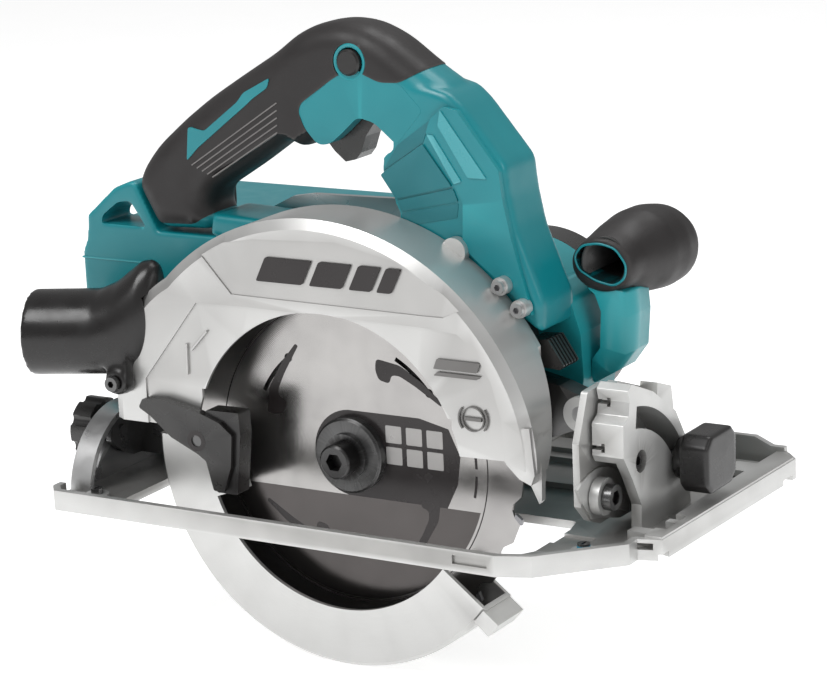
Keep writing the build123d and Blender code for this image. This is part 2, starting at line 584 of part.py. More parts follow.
with BuildPart() as housing_screws:
    for boss in range(4):
        boss_x, boss_z = polar(MOTOR_AXIS, 39.5, 45 + boss * 90)
        rod_y(boss_x, boss_z, 1.6, (COVER_Y[0], COVER_Y[1] - 4))
        rod_y(boss_x, boss_z, 3.0, (COVER_Y[1] - 6.0, COVER_Y[1] - 3.6))
    for screw_x, screw_z in HANDLE_SCREWS:
        rod_y(screw_x, screw_z, 1.6, (HANDLE_MID - 8, HANDLE_MID + HANDLE_HALF - 4.0))
        rod_y(screw_x, screw_z, 3.0, (HANDLE_MID + HANDLE_HALF - 5.0, HANDLE_MID + HANDLE_HALF - 2.6))

write(motor_housing, "motor_housing")
write(motor_end_cover, "motor_end_cover")
write(housing_screws, "housing_screws")


# ---- main handle --------------------------------------------------------------------------
# Outline seen from the right: the outer edge from the rear foot over the top to the front foot
# and the finger opening.
HANDLE_OUTER = [(-131, 150), (-128, 158), (-119, 169), (-101, 184), (-85, 196), (-67, 207), (-44, 220),
                (-32, 229), (-22, 234), (-8, 236.5), (6, 235), (20, 229), (36, 217), (53, 207),
                (60, 201), (82, 173), (83.5, 158), (87, 141), (100, 108), (99, 93), (56, 120.5), (-84, 126),
                (-119, 126)]
FINGER_OPENING = [(-82, 134), (-87.5, 141), (-85, 148), (-63, 161), (-41, 176.5), (-28, 171.5),
                  (-22, 174), (12, 177.5), (15, 170), (9, 168), (7, 162), (14, 149), (18.5, 138),
                  (17, 134)]
GRIP_OUTER = [(-134, 150), (-130, 160), (-119, 172), (-85, 200), (-44, 224), (-28, 236), (-6, 241),
              (14, 238), (36, 222), (49, 214), (30, 207), (18, 204), (9, 209), (0, 210), (-8, 209),
              (-22, 191), (-28, 190), (-26, 180), (-35, 172), (-40, 172), (-63, 156), (-85, 143),
              (-87, 138), (-95, 134), (-124, 134)]
TRIGGER_SLOT = [(-24, 166), (-24, 188), (8, 192), (13, 172)]
LOCK_OFF = (1.0, 217.0)
TRIGGER_PIVOT = (6.0, 193.0)
RIGHT_Y = HANDLE_MID - HANDLE_HALF
LEFT_Y = HANDLE_MID + HANDLE_HALF


with BuildPart() as grip_zone:
    slab_y(GRIP_OUTER, (RIGHT_Y - 5, LEFT_Y + 5))

with BuildPart() as handle_body:
    slab_y(HANDLE_OUTER, (RIGHT_Y, LEFT_Y))
    chamfer(handle_body.faces().filter_by(Axis.Y).sort_by(Axis.Y)[0].edges(), 4.0)
    chamfer(handle_body.faces().filter_by(Axis.Y).sort_by(Axis.Y)[-1].edges(), 4.0)
    slab_y(FINGER_OPENING, (RIGHT_Y - 1, LEFT_Y + 1), mode=Mode.SUBTRACT)
    right_rim = handle_body.faces().filter_by(Axis.Y).sort_by(Axis.Y)[0].inner_wires()[0].edges()
    left_rim = handle_body.faces().filter_by(Axis.Y).sort_by(Axis.Y)[-1].inner_wires()[0].edges()
    chamfer(right_rim + left_rim, 3.0)

with BuildPart() as handle_core:
    # same body, drawn in by the thickness of the rubber
    with BuildSketch(side(LEFT_Y - RUBBER)) as core_outline:
        with BuildLine():
            Polyline(*HANDLE_OUTER, close=True)
        make_face()
        offset(amount=-RUBBER, mode=Mode.REPLACE)
    extrude(core_outline.sketch, amount=2 * (HANDLE_HALF - RUBBER))
    chamfer(handle_core.faces().filter_by(Axis.Y).sort_by(Axis.Y)[0].edges(), 3.6)
    chamfer(handle_core.faces().filter_by(Axis.Y).sort_by(Axis.Y)[-1].edges(), 3.6)
    with BuildSketch(side(LEFT_Y + 1)) as wide_opening:
        with BuildLine():
            Polyline(*FINGER_OPENING, close=True)
        make_face()
        offset(amount=RUBBER, mode=Mode.REPLACE)
    extrude(wide_opening.sketch, amount=2 * HANDLE_HALF + 2, mode=Mode.SUBTRACT)

with BuildPart() as handle_hollow:
    with BuildSketch(side(LEFT_Y - RUBBER - 2.2)) as hollow_outline:
        with BuildLine():
            Polyline(*HANDLE_OUTER, close=True)
        make_face()
        offset(amount=-(RUBBER + 2.4), mode=Mode.REPLACE)
    extrude(hollow_outline.sketch, amount=2 * (HANDLE_HALF - RUBBER - 2.2))
    with BuildSketch(side(LEFT_Y + 1)) as lined_opening:
        with BuildLine():
            Polyline(*FINGER_OPENING, close=True)
        make_face()
        offset(amount=RUBBER + 2.4, mode=Mode.REPLACE)
    extrude(lined_opening.sketch, amount=2 * HANDLE_HALF + 2, mode=Mode.SUBTRACT)
    slab_y(TRIGGER_SLOT, (HANDLE_MID - 7.5, HANDLE_MID + 7.5))
    rod_y(*LOCK_OFF, 6.6, (RIGHT_Y - 3, LEFT_Y + 3))

with BuildPart() as core_in_grip:
    add(handle_core.part)
    add(grip_zone.part, mode=Mode.INTERSECT)

with BuildPart() as shell_solid:
    add(handle_body.part)
    add(grip_zone.part, mode=Mode.SUBTRACT)
    add(core_in_grip.part)
    add(handle_hollow.part, mode=Mode.SUBTRACT)
    for screw_x, screw_z in HANDLE_SCREWS:
        rod_y(screw_x, screw_z, 3.8, (HANDLE_MID - 13.2, HANDLE_MID + 13.2))
        rod_y(screw_x, screw_z, 1.6, (HANDLE_MID - 8, LEFT_Y - 2.5), mode=Mode.SUBTRACT)
        rod_y(screw_x, screw_z, 3.2, (LEFT_Y - 5.0, LEFT_Y + 1), mode=Mode.SUBTRACT)
    rod_y(*TRIGGER_PIVOT, 3.6, (HANDLE_MID - 13.2, HANDLE_MID - 7.4))
    rod_y(*TRIGGER_PIVOT, 3.6, (HANDLE_MID + 7.4, HANDLE_MID + 13.2))
    rod_y(*TRIGGER_PIVOT, 1.5, (HANDLE_MID - 9, HANDLE_MID + 9), mode=Mode.SUBTRACT)
    # room for the round motor housing
    add(motor_housing.part, mode=Mode.SUBTRACT)
    # notch that lets the top of the depth guide pass
    block((-80, -48), (RIGHT_Y - 2, 13.8), (120, 131), mode=Mode.SUBTRACT)

with BuildPart() as rubber_solid:
    add(handle_body.part)
    add(grip_zone.part, mode=Mode.INTERSECT)
    add(handle_core.part, mode=Mode.SUBTRACT)
    rod_y(*LOCK_OFF, 9.6, (RIGHT_Y - 3, LEFT_Y + 3), mode=Mode.SUBTRACT)
    for screw_x, screw_z in HANDLE_SCREWS:
        rod_y(screw_x, screw_z, 3.4, (LEFT_Y - 5, LEFT_Y + 1), mode=Mode.SUBTRACT)


def half_of(solid_builder, y_span):
    """The share of a symmetric body between two planes across the saw."""
    with BuildPart() as half:
        add(solid_builder.part)
        block((-300, 300), y_span, (0, 400), mode=Mode.INTERSECT)
    return half


handle_shell_right = half_of(shell_solid, (RIGHT_Y - 5, HANDLE_MID))
handle_shell_left = half_of(shell_solid, (HANDLE_MID, LEFT_Y + 5))
write(handle_shell_right, "handle_shell_right")
write(handle_shell_left, "handle_shell_left")
write(rubber_solid, "handle_rubber")


# ---- trigger, switch and lock-off button --------------------------------------------------
with BuildPart() as trigger:
    slab_y([(-21, 178), (-16, 172), (-10, 167), (-4, 168.5), (-1, 172), (2, 180), (8, 188), (9, 196),
            (2, 197), (-18, 189)], (HANDLE_MID - 6.8, HANDLE_MID + 6.8), corner=1.0)
    rod_y(*TRIGGER_PIVOT, 1.5 + RUN_FIT, (0, 60), mode=Mode.SUBTRACT)

with BuildPart() as trigger_pin:
    rod_y(*TRIGGER_PIVOT, 1.5, (HANDLE_MID - 9.0, HANDLE_MID + 9.0))

with BuildPart() as trigger_switch:
    slab_y([(-30, 197), (-2, 206), (10, 205), (10, 199), (-3, 199.5), (-26, 191)],
           (HANDLE_MID - 9.0, HANDLE_MID + 9.0), corner=0.8)

with BuildPart() as lock_off_button:
    rod_y(*LOCK_OFF, 6.3, (RIGHT_Y - 1.8, LEFT_Y + 1.8))
    chamfer(lock_off_button.edges().filter_by(GeomType.CIRCLE), 1.0)

with BuildPart() as controller:
    block((34, 80), (HANDLE_MID - 11, HANDLE_MID + 11), (127.0, 129.0))
    block((36, 66), (HANDLE_MID - 9, HANDLE_MID + 9), (129.0, 135.0))
    for capacitor_x in (70.6, 76.6):
        rod_z(capacitor_x, HANDLE_MID, 2.6, (129.0, 138.0))

# ---- battery housing and packs ------------------------------------------------------------
HOUSING_REAR_X = -168.0
HOUSING_FRONT_X = PACK_X + PACK_SIZE[0] + 5.0
HOUSING_WALLS_Y = (16.0, 139.0)
with BuildPart() as battery_housing:
    slab_y([(HOUSING_REAR_X, 62), (HOUSING_REAR_X, 112), (-164, 121), (-158, 125.6), (HOUSING_FRONT_X, 125.6),
            (HOUSING_FRONT_X, 62)], HOUSING_WALLS_Y, corner=1.5)
    # rear carrying loop, behind the handle's foot
    slab_y([(-165, 118), (-163.5, 131), (-146, 146), (-136, 150), (-132.6, 149.6), (-120.6, 125.8),
            (-120.6, 120)], (16.0, 40.0), corner=1.0)
    slab_y([(-154, 128), (-153, 131), (-143, 138), (-136.5, 139), (-129, 128)],
           (10.0, 45.0), mode=Mode.SUBTRACT)
    add(handle_body.part, mode=Mode.SUBTRACT)
    # bays for the two packs, open to the rear and below
    for pack_y in PACK_RIGHT_Y:
        block((HOUSING_REAR_X - 5, PACK_X + PACK_SIZE[0] + 0.6),
              (pack_y - 0.8, pack_y + PACK_SIZE[1] + 0.8), (40, PACK_Z + PACK_SIZE[2] + 0.6),
              mode=Mode.SUBTRACT)
    # rail tongues on the right wall of each bay
    for pack_y in PACK_RIGHT_Y:
        for rail_z in (70.0, 100.0):
            block((PACK_X + 12, PACK_X + 96), (pack_y - 1.0, pack_y + 3.2), (rail_z, rail_z + 5))
            block((PACK_X + 12, PACK_X + 96), (pack_y + 1.6, pack_y + 3.2), (rail_z - 3, rail_z + 5))
    # pocket for the depth guide's clearance and the seam line of the top cover
    block((HOUSING_FRONT_X - 3, HOUSING_FRONT_X + 1), (60, 141), (40, 90), mode=Mode.SUBTRACT)

with BuildPart() as terminal_blocks:
    for pack_y in PACK_RIGHT_Y:
        block((PACK_X + PACK_SIZE[0] - 8, PACK_X + PACK_SIZE[0] + 0.4), (pack_y - 0.8, pack_y + 1.2), (78, 97))


def battery_pack(pack_y):
    """Slide-on pack standing on edge, its rail grooves in the right-hand face."""
    with BuildPart() as pack:
        block((PACK_X, PACK_X + PACK_SIZE[0]), (pack_y, pack_y + PACK_SIZE[1]), (PACK_Z, PACK_Z + PACK_SIZE[2]))
        chamfer(pack.edges().filter_by(Axis.X), 4.0)
        chamfer(pack.faces().sort_by(Axis.X)[0].edges(), 1.2)
        for rail_z in (70.0, 100.0):
            block((PACK_X + 11, PACK_X + 120), (pack_y - 1, pack_y + 1.8), (rail_z - 0.6, rail_z + 5.6),
                  mode=Mode.SUBTRACT)
            block((PACK_X + 11, PACK_X + 120), (pack_y + 1.0, pack_y + 3.8), (rail_z - 3.6, rail_z + 5.6),
                  mode=Mode.SUBTRACT)
        # contact slot between the rails and the latch pocket at the rear
        block((PACK_X + PACK_SIZE[0] - 12, PACK_X + PACK_SIZE[0] + 1), (pack_y - 1, pack_y + 3),
              (77, 98), mode=Mode.SUBTRACT)
        block((PACK_X - 1, PACK_X + 7.6), (pack_y + 17, pack_y + 39), (96, 108), mode=Mode.SUBTRACT)
    return pack


def latch_button(pack_y):
    """Spring-loaded release button in the rear face of a pack."""
    with BuildPart() as button:
        block((PACK_X - 1.0, PACK_X + 3.4), (pack_y + 17.4, pack_y + 38.6), (96.4, 107.6))
        for rib in range(4):
            rib_y = pack_y + 20 + rib * 5
            block((PACK_X - 2, PACK_X - 0.2), (rib_y, rib_y + 1.0), (97.5, 106.5), mode=Mode.SUBTRACT)
    return button


for pack_y, pack_side in zip(PACK_RIGHT_Y, ("right", "left")):
    write(battery_pack(pack_y), f"battery_pack_{pack_side}")
    write(latch_button(pack_y), f"latch_button_{pack_side}")

# ---- front grip ---------------------------------------------------------------------------
GRIP_AXIS = (114.0, 121.0)          # x and z of the front grip's axis, which runs across the saw
with BuildPart() as front_grip_core:
    # hollow bar of the grip, with a leg down to the chin of the motor housing
    with BuildSketch(side(110.0)) as bar:
        with Locations(GRIP_AXIS):
            Ellipse(12.5, 13.0)
    extrude(amount=62.0)
    slab_y([(100, 112), (124, 108), (125, 96), (123.5, 78), (116, 68), (105.4, 62), (105.4, 74),
            (110, 80), (111, 98), (108, 106)], (48.0, 72.0), corner=1.5)
    slab_y([(86, 101), (94, 112), (103, 122), (108, 112), (98, 98)], (75.0, 96.0), corner=1.0)
    with BuildSketch(side(104.0)) as bore_of_bar:
        with Locations(GRIP_AXIS):
            Ellipse(10.0, 10.5)
    extrude(bore_of_bar.sketch, amount=60.0, mode=Mode.SUBTRACT)
    rod_y(*MOTOR_AXIS, MOTOR_R + 0.1, (40, 110), mode=Mode.SUBTRACT)

with BuildPart() as front_grip_rubber:
    # bulb: an oval tube that swells towards its closed left end
    with BuildSketch(side(48.4)) as mouth:
        with Locations(GRIP_AXIS):
            Ellipse(15.5, 17.5)
    with BuildSketch(side(68.0)) as waist:
        with Locations((GRIP_AXIS[0] + 1, GRIP_AXIS[1] + 0.5)):
            Ellipse(18.5, 19.5)
    with BuildSketch(side(92.0)) as belly:
        with Locations((GRIP_AXIS[0] + 2, GRIP_AXIS[1])):
            Ellipse(21, 23)
    with BuildSketch(side(112.0)) as shoulder:
        with Locations((GRIP_AXIS[0] + 3, GRIP_AXIS[1] - 1)):
            Ellipse(19.5, 21)
    with BuildSketch(side(124.0)) as crown:
        with Locations((GRIP_AXIS[0] + 3, GRIP_AXIS[1] - 2)):
            Ellipse(11, 12)
    loft(sections=[mouth.sketch, waist.sketch, belly.sketch, shoulder.sketch, crown.sketch])
    add(front_grip_core.part, mode=Mode.SUBTRACT)
    with BuildSketch(side(104.0)) as hollow_of_bar:
        with Locations(GRIP_AXIS):
            Ellipse(10.0, 10.5)
    extrude(hollow_of_bar.sketch, amount=60.0, mode=Mode.SUBTRACT)
    slab_y([(98, 90), (97, 104), (104, 108), (108, 106), (124, 108), (127, 100), (127, 90)],
           (47.0, 73.0), mode=Mode.SUBTRACT)

for builder, name in ((trigger, "trigger"), (trigger_pin, "trigger_pin"), (trigger_switch, "trigger_switch"),
                      (lock_off_button, "lock_off_button"), (controller, "controller"),
                      (battery_housing, "battery_housing"), (terminal_blocks, "terminal_blocks"),
                      (front_grip_core, "front_grip_core"), (front_grip_rubber, "front_grip_rubber")):
    write(builder, name)

# ---- dust nozzle --------------------------------------------------------------------------
with BuildPart() as dust_nozzle:
    # round tube with a slightly slimmer root that runs forward into the rear of the case
    with BuildSketch(mouth_plane) as tube:
        Circle(NOZZLE_R)
    extrude(tube.sketch, amount=NOZZLE_LENGTH)
    with BuildSketch(mouth_plane) as root:
        Circle(NOZZLE_R - 0.5)
    extrude(root.sketch, amount=NOZZLE_REACH)
    # fairing on the right face of the case and the screw boss below it
    with BuildSketch(foot_plane) as foot:
        Ellipse(28.0, 12.5)
    with BuildSketch(foot_plane.offset(-11)) as foot_top:
        Ellipse(19.0, 8.0)
    loft(sections=[foot.sketch, foot_top.sketch])
    rod_y(*NOZZLE_SCREW, 6.6, (CASE_RIGHT - 9, CASE_RIGHT))
    slab_y([(-118, 56), (-109, 62), (-112, 78), (-124, 78)], (CASE_RIGHT - 7, CASE_RIGHT))
    with BuildSketch(mouth_plane) as bore:
        Circle(NOZZLE_R - 2.2)
    extrude(bore.sketch, amount=NOZZLE_LENGTH + 6, mode=Mode.SUBTRACT)
    with BuildSketch(mouth_plane) as throat:
        Circle(NOZZLE_PORT_R)
    extrude(throat.sketch, amount=NOZZLE_REACH, mode=Mode.SUBTRACT)
    # the foot follows the outside of the case
    with BuildSketch(side(CASE_BACK + 20)) as case_body:
        with BuildLine():
            case_outline()
        make_face()
    extrude(case_body.sketch, amount=CASE_BACK + 20 - CASE_RIGHT, mode=Mode.SUBTRACT)
    rod_y(*NOZZLE_SCREW, 1.8, (CASE_RIGHT - 20, CASE_RIGHT + 5), mode=Mode.SUBTRACT)
    rod_y(*NOZZLE_SCREW, 4.2, (CASE_RIGHT - 30, CASE_RIGHT - 9), mode=Mode.SUBTRACT)

with BuildPart() as nozzle_screw:
    cap_screw(*NOZZLE_SCREW, CASE_RIGHT - 9, head_r=3.6, head=3.0, shank_r=1.8, shank=11.5)

write(dust_nozzle, "dust_nozzle")
write(nozzle_screw, "nozzle_screw")

# ---- hook, shaft lock and work light ------------------------------------------------------
HOOK_AXIS = (47.6, 131.2)           # y and z of the hook's hinge line
with BuildPart() as hook_bracket:
    for ear_x in (-28.0, -4.0):
        block((ear_x, ear_x + 5), (LEFT_Y, 50.0), (127.0, 133.4))
    rod_x(*HOOK_AXIS, 1.2, (-27, 0.5))

with BuildPart() as hanging_hook:
    slab_y([(-74, 134), (-58, 142), (-46, 144), (8, 145), (9, 130), (0.0, 129.8), (-1.0, 136), (-34, 136),
            (-60, 134), (-66, 129.8), (-72, 129.8)], (46.0, 49.2), corner=0.8)
    block((-22.6, -4.4), (46.0, 49.2), (129.8, 138))
    rod_x(*HOOK_AXIS, 1.2 + RUN_FIT, (-40, 20), mode=Mode.SUBTRACT)
    block((-28.4, -22.6), (44, 51), (125, 135.2), mode=Mode.SUBTRACT)
    block((-4.4, 1.4), (44, 51), (125, 135.2), mode=Mode.SUBTRACT)

with BuildPart() as shaft_lock_button:
    slab_y([(90, 78), (89, 90), (100, 91), (108, 79), (106, 77)], (15.4, 30.6), corner=0.8)
    for rib in range(5):
        rib_y = 17.0 + rib * 2.8
        slab_y([(100, 93), (110, 79), (106.6, 77.8), (97.5, 91)], (rib_y, rib_y + 1.2), mode=Mode.SUBTRACT)
    rod_x(21.0, 82.0, 3.0, (70, 92))

with BuildPart() as work_light:
    block((104, 107), (28, 38), (46.5, 53.5))
    chamfer(work_light.faces().sort_by(Axis.X)[-1].edges(), 0.8)

# ---- depth adjustment ---------------------------------------------------------------------
GUIDE_Y = (10.9, 13.3)
with BuildPart() as depth_clamp_bolt:
    rod_y(*CLAMP_PLACE, 5.6, (7.6, 10.5))
    rod_y(*CLAMP_PLACE, 3.0, (10.4, 35.0))

with BuildPart() as depth_lever:
    rod_y(*CLAMP_PLACE, 8.5, (24.4, 34.0))
    slab_y([polar(CLAMP_PLACE, 8.0, 100), polar(CLAMP_PLACE, 42.0, 154), polar(CLAMP_PLACE, 43.0, 162),
            polar(CLAMP_PLACE, 8.0, 230)], (27.0, 33.0), corner=1.5)
    rod_y(*CLAMP_PLACE, 3.0 + RUN_FIT, (20, 40), mode=Mode.SUBTRACT)

SLOT_FIRST = 180 - CLAMP_ANGLE - DEPTH_TRAVEL - 1.15
SLOT_LAST = 180 - CLAMP_ANGLE + 1.15
with BuildPart() as depth_guide:
    ring_segment(side(GUIDE_Y[1]), PIVOT, GUIDE_RADIUS - 7.5, GUIDE_RADIUS + 6.5, SLOT_FIRST - 1.6,
                 SLOT_LAST + 1.6, GUIDE_Y[1] - GUIDE_Y[0])
    slab_y([(-138.6, 11), (-138.6, 32), (-128, 36), (-104, 34), (-76, 34), (-66, 11)], GUIDE_Y)
    ring_segment(side(GUIDE_Y[1] + 1), PIVOT, GUIDE_RADIUS - 3.2, GUIDE_RADIUS + 3.2, SLOT_FIRST,
                 SLOT_LAST, 5, mode=Mode.SUBTRACT)
    # rear tilt arm, bent across behind the blade
    slab_x([(13.3, 11), (13.3, 32), (4, 36), (-12, 33), (-14, 23), (-5, 15.5), (4, 11.5)],
           (-138.6, -135.4), corner=0.8)
    rod_x(*polar((0, 0), REAR_SLOT_RADIUS, REAR_SLOT_REST), 3.0, (-140, -130), mode=Mode.SUBTRACT)

LUG = 2.7                           # thickness of the pivot lugs
with BuildPart() as front_tilt_plate:
    slab_x([(-5, 13), (-14, 22), (-14, 52), (-4, 74), (12, 74.5), (38, 66), (60, 46), (64, 28),
            (56, 16), (30, 9), (4, 9)], (127.2, 130.6), corner=1.5)
    for lug_y in (10.9, 26.4):
        rod_y(*PIVOT, 8.6, (lug_y, lug_y + LUG))
        block((PIVOT[0], 128), (lug_y, lug_y + LUG), (PIVOT[1] - 8.6, PIVOT[1] + 8.6))
    rod_y(*PIVOT, PIVOT_R, (5, 35), mode=Mode.SUBTRACT)
    # round hub plate with the stop bolt's boss
    slab_x([polar((0, 0), 36.5, a) for a in range(10, 121, 10)] + [(-14, 24), (-5, 14), (4, 12), (22, 6.6)],
           (130.0, 131.6))
    rod_x(0.0, 24.0, 3.0, (120, 140), mode=Mode.SUBTRACT)
    rod_x(*polar((0, 0), SLOT_RADIUS, SLOT_REST), 3.0, (120, 140), mode=Mode.SUBTRACT)

with BuildPart() as depth_pivot_pin:
    rod_y(*PIVOT, PIVOT_R, (10.8, 30.0))
    rod_y(*PIVOT, 6.2, (29.1, 32.0))

with BuildPart() as bevel_bolts:
    rod_x(0.0, 24.0, 3.0, (126.0, 139.0))
    rod_x(0.0, 24.0, 6.2, (137.0, 141.5))
    rod_x(*polar((0, 0), SLOT_RADIUS, SLOT_REST), 3.0, (125.6, 160.0))
    rod_x(*polar((0, 0), REAR_SLOT_RADIUS, REAR_SLOT_REST), 3.0, (-150.0, -134.0))
    with BuildSketch(front(139.0)) as stop_socket:
        with Locations((0.0, 24.0)):
            RegularPolygon(3.6, 6)
    extrude(stop_socket.sketch, amount=4, mode=Mode.SUBTRACT)

with BuildPart() as stop_lever:
    rod_x(0.0, 24.0, 8.8, (132.0, 136.8))
    slab_x([(3, 25.6), (24, 17.6), (28.4, 14), (27.6, 9.8), (22, 10.4), (2, 18.6)], (132.0, 136.4), corner=0.8)
    rod_x(0.0, 24.0, 3.0 + RUN_FIT, (130, 140), mode=Mode.SUBTRACT)

# ---- bevel guides on the base -------------------------------------------------------------
with BuildPart() as front_bevel_guide:
    # web against the tilt plate, down to the base on the motor side
    slab_x([(3, 60), (5, 74), (14, 75.5), (40, 66), (62, 48), (80, 18), (82, SOLE_THICKNESS),
            (41, SOLE_THICKNESS), (36, 40)], (132.0, 137.0), corner=0.5)
    # thick quadrant with a flat side towards the blade
    slab_x([(-3.5, 59.6), (2, 62.6), (3.5, 69.2), (2, 74.5), (6, 77), (27, 68.3), (50, 53), (60, 38),
            (62, 20), (64, SOLE_THICKNESS), (12, SOLE_THICKNESS), (12.7, 17.6), (4.6, 31.9), (-3.8, 44.3)],
           (132.0, 148.0), corner=0.8)
    slab_x([(34, 58), (36, 70), (50, 65), (52, 52)], (137.0, 146.0))
    # round room for the hub plate and the stop lever behind the front wall
    rod_x(0.0, 0.0, 41.0, (131, 142.8), mode=Mode.SUBTRACT)
    # curved clamp slot and the recess of the adjusting screw
    ring_segment(front(130), (0, 0), SLOT_RADIUS - 5.2, SLOT_RADIUS + 5.2, SLOT_REST - 4.8,
                 SLOT_REST + BEVEL_TRAVEL + 7.0, 20, mode=Mode.SUBTRACT)
    rod_x(13.5, 38.5, 5.4, (144.6, 149), mode=Mode.SUBTRACT)
    # two T-shaped stop notches in the flat side
    for notch_z, floor_y in ((68.2, 7.5), (48.2, 0.5)):
        block((131, 137.2), (-6, floor_y), (notch_z - 1.0, notch_z + 1.0), mode=Mode.SUBTRACT)
        block((136.6, 138.4), (-6, floor_y), (notch_z - 2.1, notch_z + 2.1), mode=Mode.SUBTRACT)
    block((131, 149), (-9, 90), (-1, SOLE_THICKNESS), mode=Mode.SUBTRACT)

with BuildPart() as rear_bevel_guide:
    ring_segment(Plane.YZ.offset(-142.0), (0, 0), 38.0, 41.0, 6.0, 174.0, 12.0)
    slab_x([polar((0, 0), 39.0, a) for a in range(6, 175, 8)], (-142.0, -139.6))
    ring_segment(Plane.YZ.offset(-143.0), (0, 0), REAR_SLOT_RADIUS - 3.4, REAR_SLOT_RADIUS + 3.4,
                 REAR_SLOT_REST - 8, REAR_SLOT_REST + BEVEL_TRAVEL + 8, 6, mode=Mode.SUBTRACT)
    block((-145, -125), (-50, 50), (-5, SOLE_THICKNESS), mode=Mode.SUBTRACT)


def lobed_knob(y, z, radius, lobes, x_span):
    """Moulded hand knob on an axis along the saw."""
    rod_x(y, z, radius, x_span)
    for lobe in range(lobes):
        notch_y, notch_z = polar((y, z), radius + 1.6, lobe * 360 / lobes)
        rod_x(notch_y, notch_z, 3.4, (x_span[0] - 1, x_span[1] + 1), mode=Mode.SUBTRACT)


with BuildPart() as rear_bevel_knob:
    rear_bolt = polar((0, 0), REAR_SLOT_RADIUS, REAR_SLOT_REST)
    lobed_knob(*rear_bolt, 15.5, 7, (-156.0, -145.0))
    rod_x(*rear_bolt, 7.5, (-146.0, -142.6))
    rod_x(*rear_bolt, 3.0 + RUN_FIT, (-151, -140), mode=Mode.SUBTRACT)

with BuildPart() as front_bevel_knob:
    front_bolt = polar((0, 0), SLOT_RADIUS, SLOT_REST)
    rod_x(*front_bolt, 10.5, (148.5, 153.0))
    rod_x(*front_bolt, 7.0, (152.0, 156.0))
    block((155.0, 170.0), (front_bolt[0] - 16, front_bolt[0] + 16), (front_bolt[1] - 13, front_bolt[1] + 15))
    chamfer(front_bevel_knob.edges().filter_by(Axis.X).group_by(SortBy.LENGTH)[-1], 5.0)
    rod_x(*front_bolt, 3.0 + RUN_FIT, (148, 160.6), mode=Mode.SUBTRACT)

# ---- base ---------------------------------------------------------------------------------
BASE_OUTLINE = [(-144, -52), (-138, -59), (110, -59), (126, -53), (158, -20), (158, -12), (169, -9),
                (173, 130), (166, 138), (-136, 138), (-144, 130)]
OPENING = [(-109, -47.5), (-109, 16), (112, 16), (115, 4), (115, -30), (104, -47.5)]
FENCE_SLOT_X = (153.0, 165.0)
FENCE_SLOT_Z = (5.0, 8.2)
with BuildPart() as base_plate:
    slab_z(BASE_OUTLINE, (0, SOLE_THICKNESS))
    # raised rim all round
    slab_z(BASE_OUTLINE, (0, RAIL_HEIGHT))
    with BuildSketch(Plane.XY.offset(SOLE_THICKNESS)) as tray:
        with BuildLine():
            Polyline(*BASE_OUTLINE, close=True)
        make_face()
        offset(amount=-3.6, mode=Mode.REPLACE)
    extrude(tray.sketch, amount=20, mode=Mode.SUBTRACT)
    chamfer(base_plate.edges().filter_by(Axis.Z).group_by(Axis.X)[0], 0.8)
    slab_z(OPENING, (-1, 20), corner=3, mode=Mode.SUBTRACT)
    # low stiffening ribs under the motor and round the opening
    for rib_y in (58.0, 96.0):
        block((-138, 125), (rib_y, rib_y + 2.4), (SOLE_THICKNESS - 1, 7.0))
    for rib_x in (-112.5, -50.0, 40.0, 118.0):
        block((rib_x, rib_x + 2.4), (40, 135), (SOLE_THICKNESS - 1, 7.0))
    # guide-rail groove along the left side, with the ridge over it
    block((-141, 168), (113, 129), (SOLE_THICKNESS - 1, 6.4))
    block((-150, 180), (116, 126), (-1, 2.6), mode=Mode.SUBTRACT)
    # higher wall along the left edge that swells near the front
    slab_y([(-136, SOLE_THICKNESS), (-136, 12), (118, 12), (136, 17.4), (149, 17.4), (158, 13.4),
            (165, 13.4), (165, SOLE_THICKNESS)], (134.4, 138))
    # seat of the rear bevel guide
    block((-146, -128.6), (-46, 46), (SOLE_THICKNESS, 20), mode=Mode.SUBTRACT)
    # wall along the front edge, with two pockets near its end and a block for the fence at each end
    slab_z([(160, -8.6), (168.8, -8.6), (172.6, 128), (165.6, 136), (161, 136), (159.6, 60)],
           (SOLE_THICKNESS - 1, WALL_TOP))
    for pocket_y in ((3.0, 13.0), (17.5, 24.0)):
        block((158, 165.4), pocket_y, (6.2, 13), mode=Mode.SUBTRACT)
    for fence_y in ((-6.0, 1.0), (98.0, 112.0)):
        block((150, 162), fence_y, (SOLE_THICKNESS - 1, WALL_TOP))
    block(FENCE_SLOT_X, (-12, 113), FENCE_SLOT_Z, mode=Mode.SUBTRACT)
    # room for the depth pivot lugs and the hub when the base tilts
    block((100, 131.8), (-16, -2), (2.6, 12), mode=Mode.SUBTRACT)
    # sight notch and the pocket in the right rail
    slab_z([(150, -10), (162, -6), (174, -14), (174, -4), (162, 0)], (-1, 3), mode=Mode.SUBTRACT)
    block((88, 106), (-60, -57.6), (3.4, 7.6), mode=Mode.SUBTRACT)
    for screw_x, screw_y in GUIDE_SCREWS:
        rod_z(screw_x, screw_y, 6.0, (SOLE_THICKNESS - 1, 7.0))
        rod_z(screw_x, screw_y, 3.0, (-1, 12), mode=Mode.SUBTRACT)

with BuildPart() as guide_set_screws:
    for screw_x, screw_y in GUIDE_SCREWS:
        rod_z(screw_x, screw_y, 3.0, (0.8, 9.8))
        block((screw_x - 0.5, screw_x + 0.5), (screw_y - 2.2, screw_y + 2.2), (8.8, 11.0), mode=Mode.SUBTRACT)

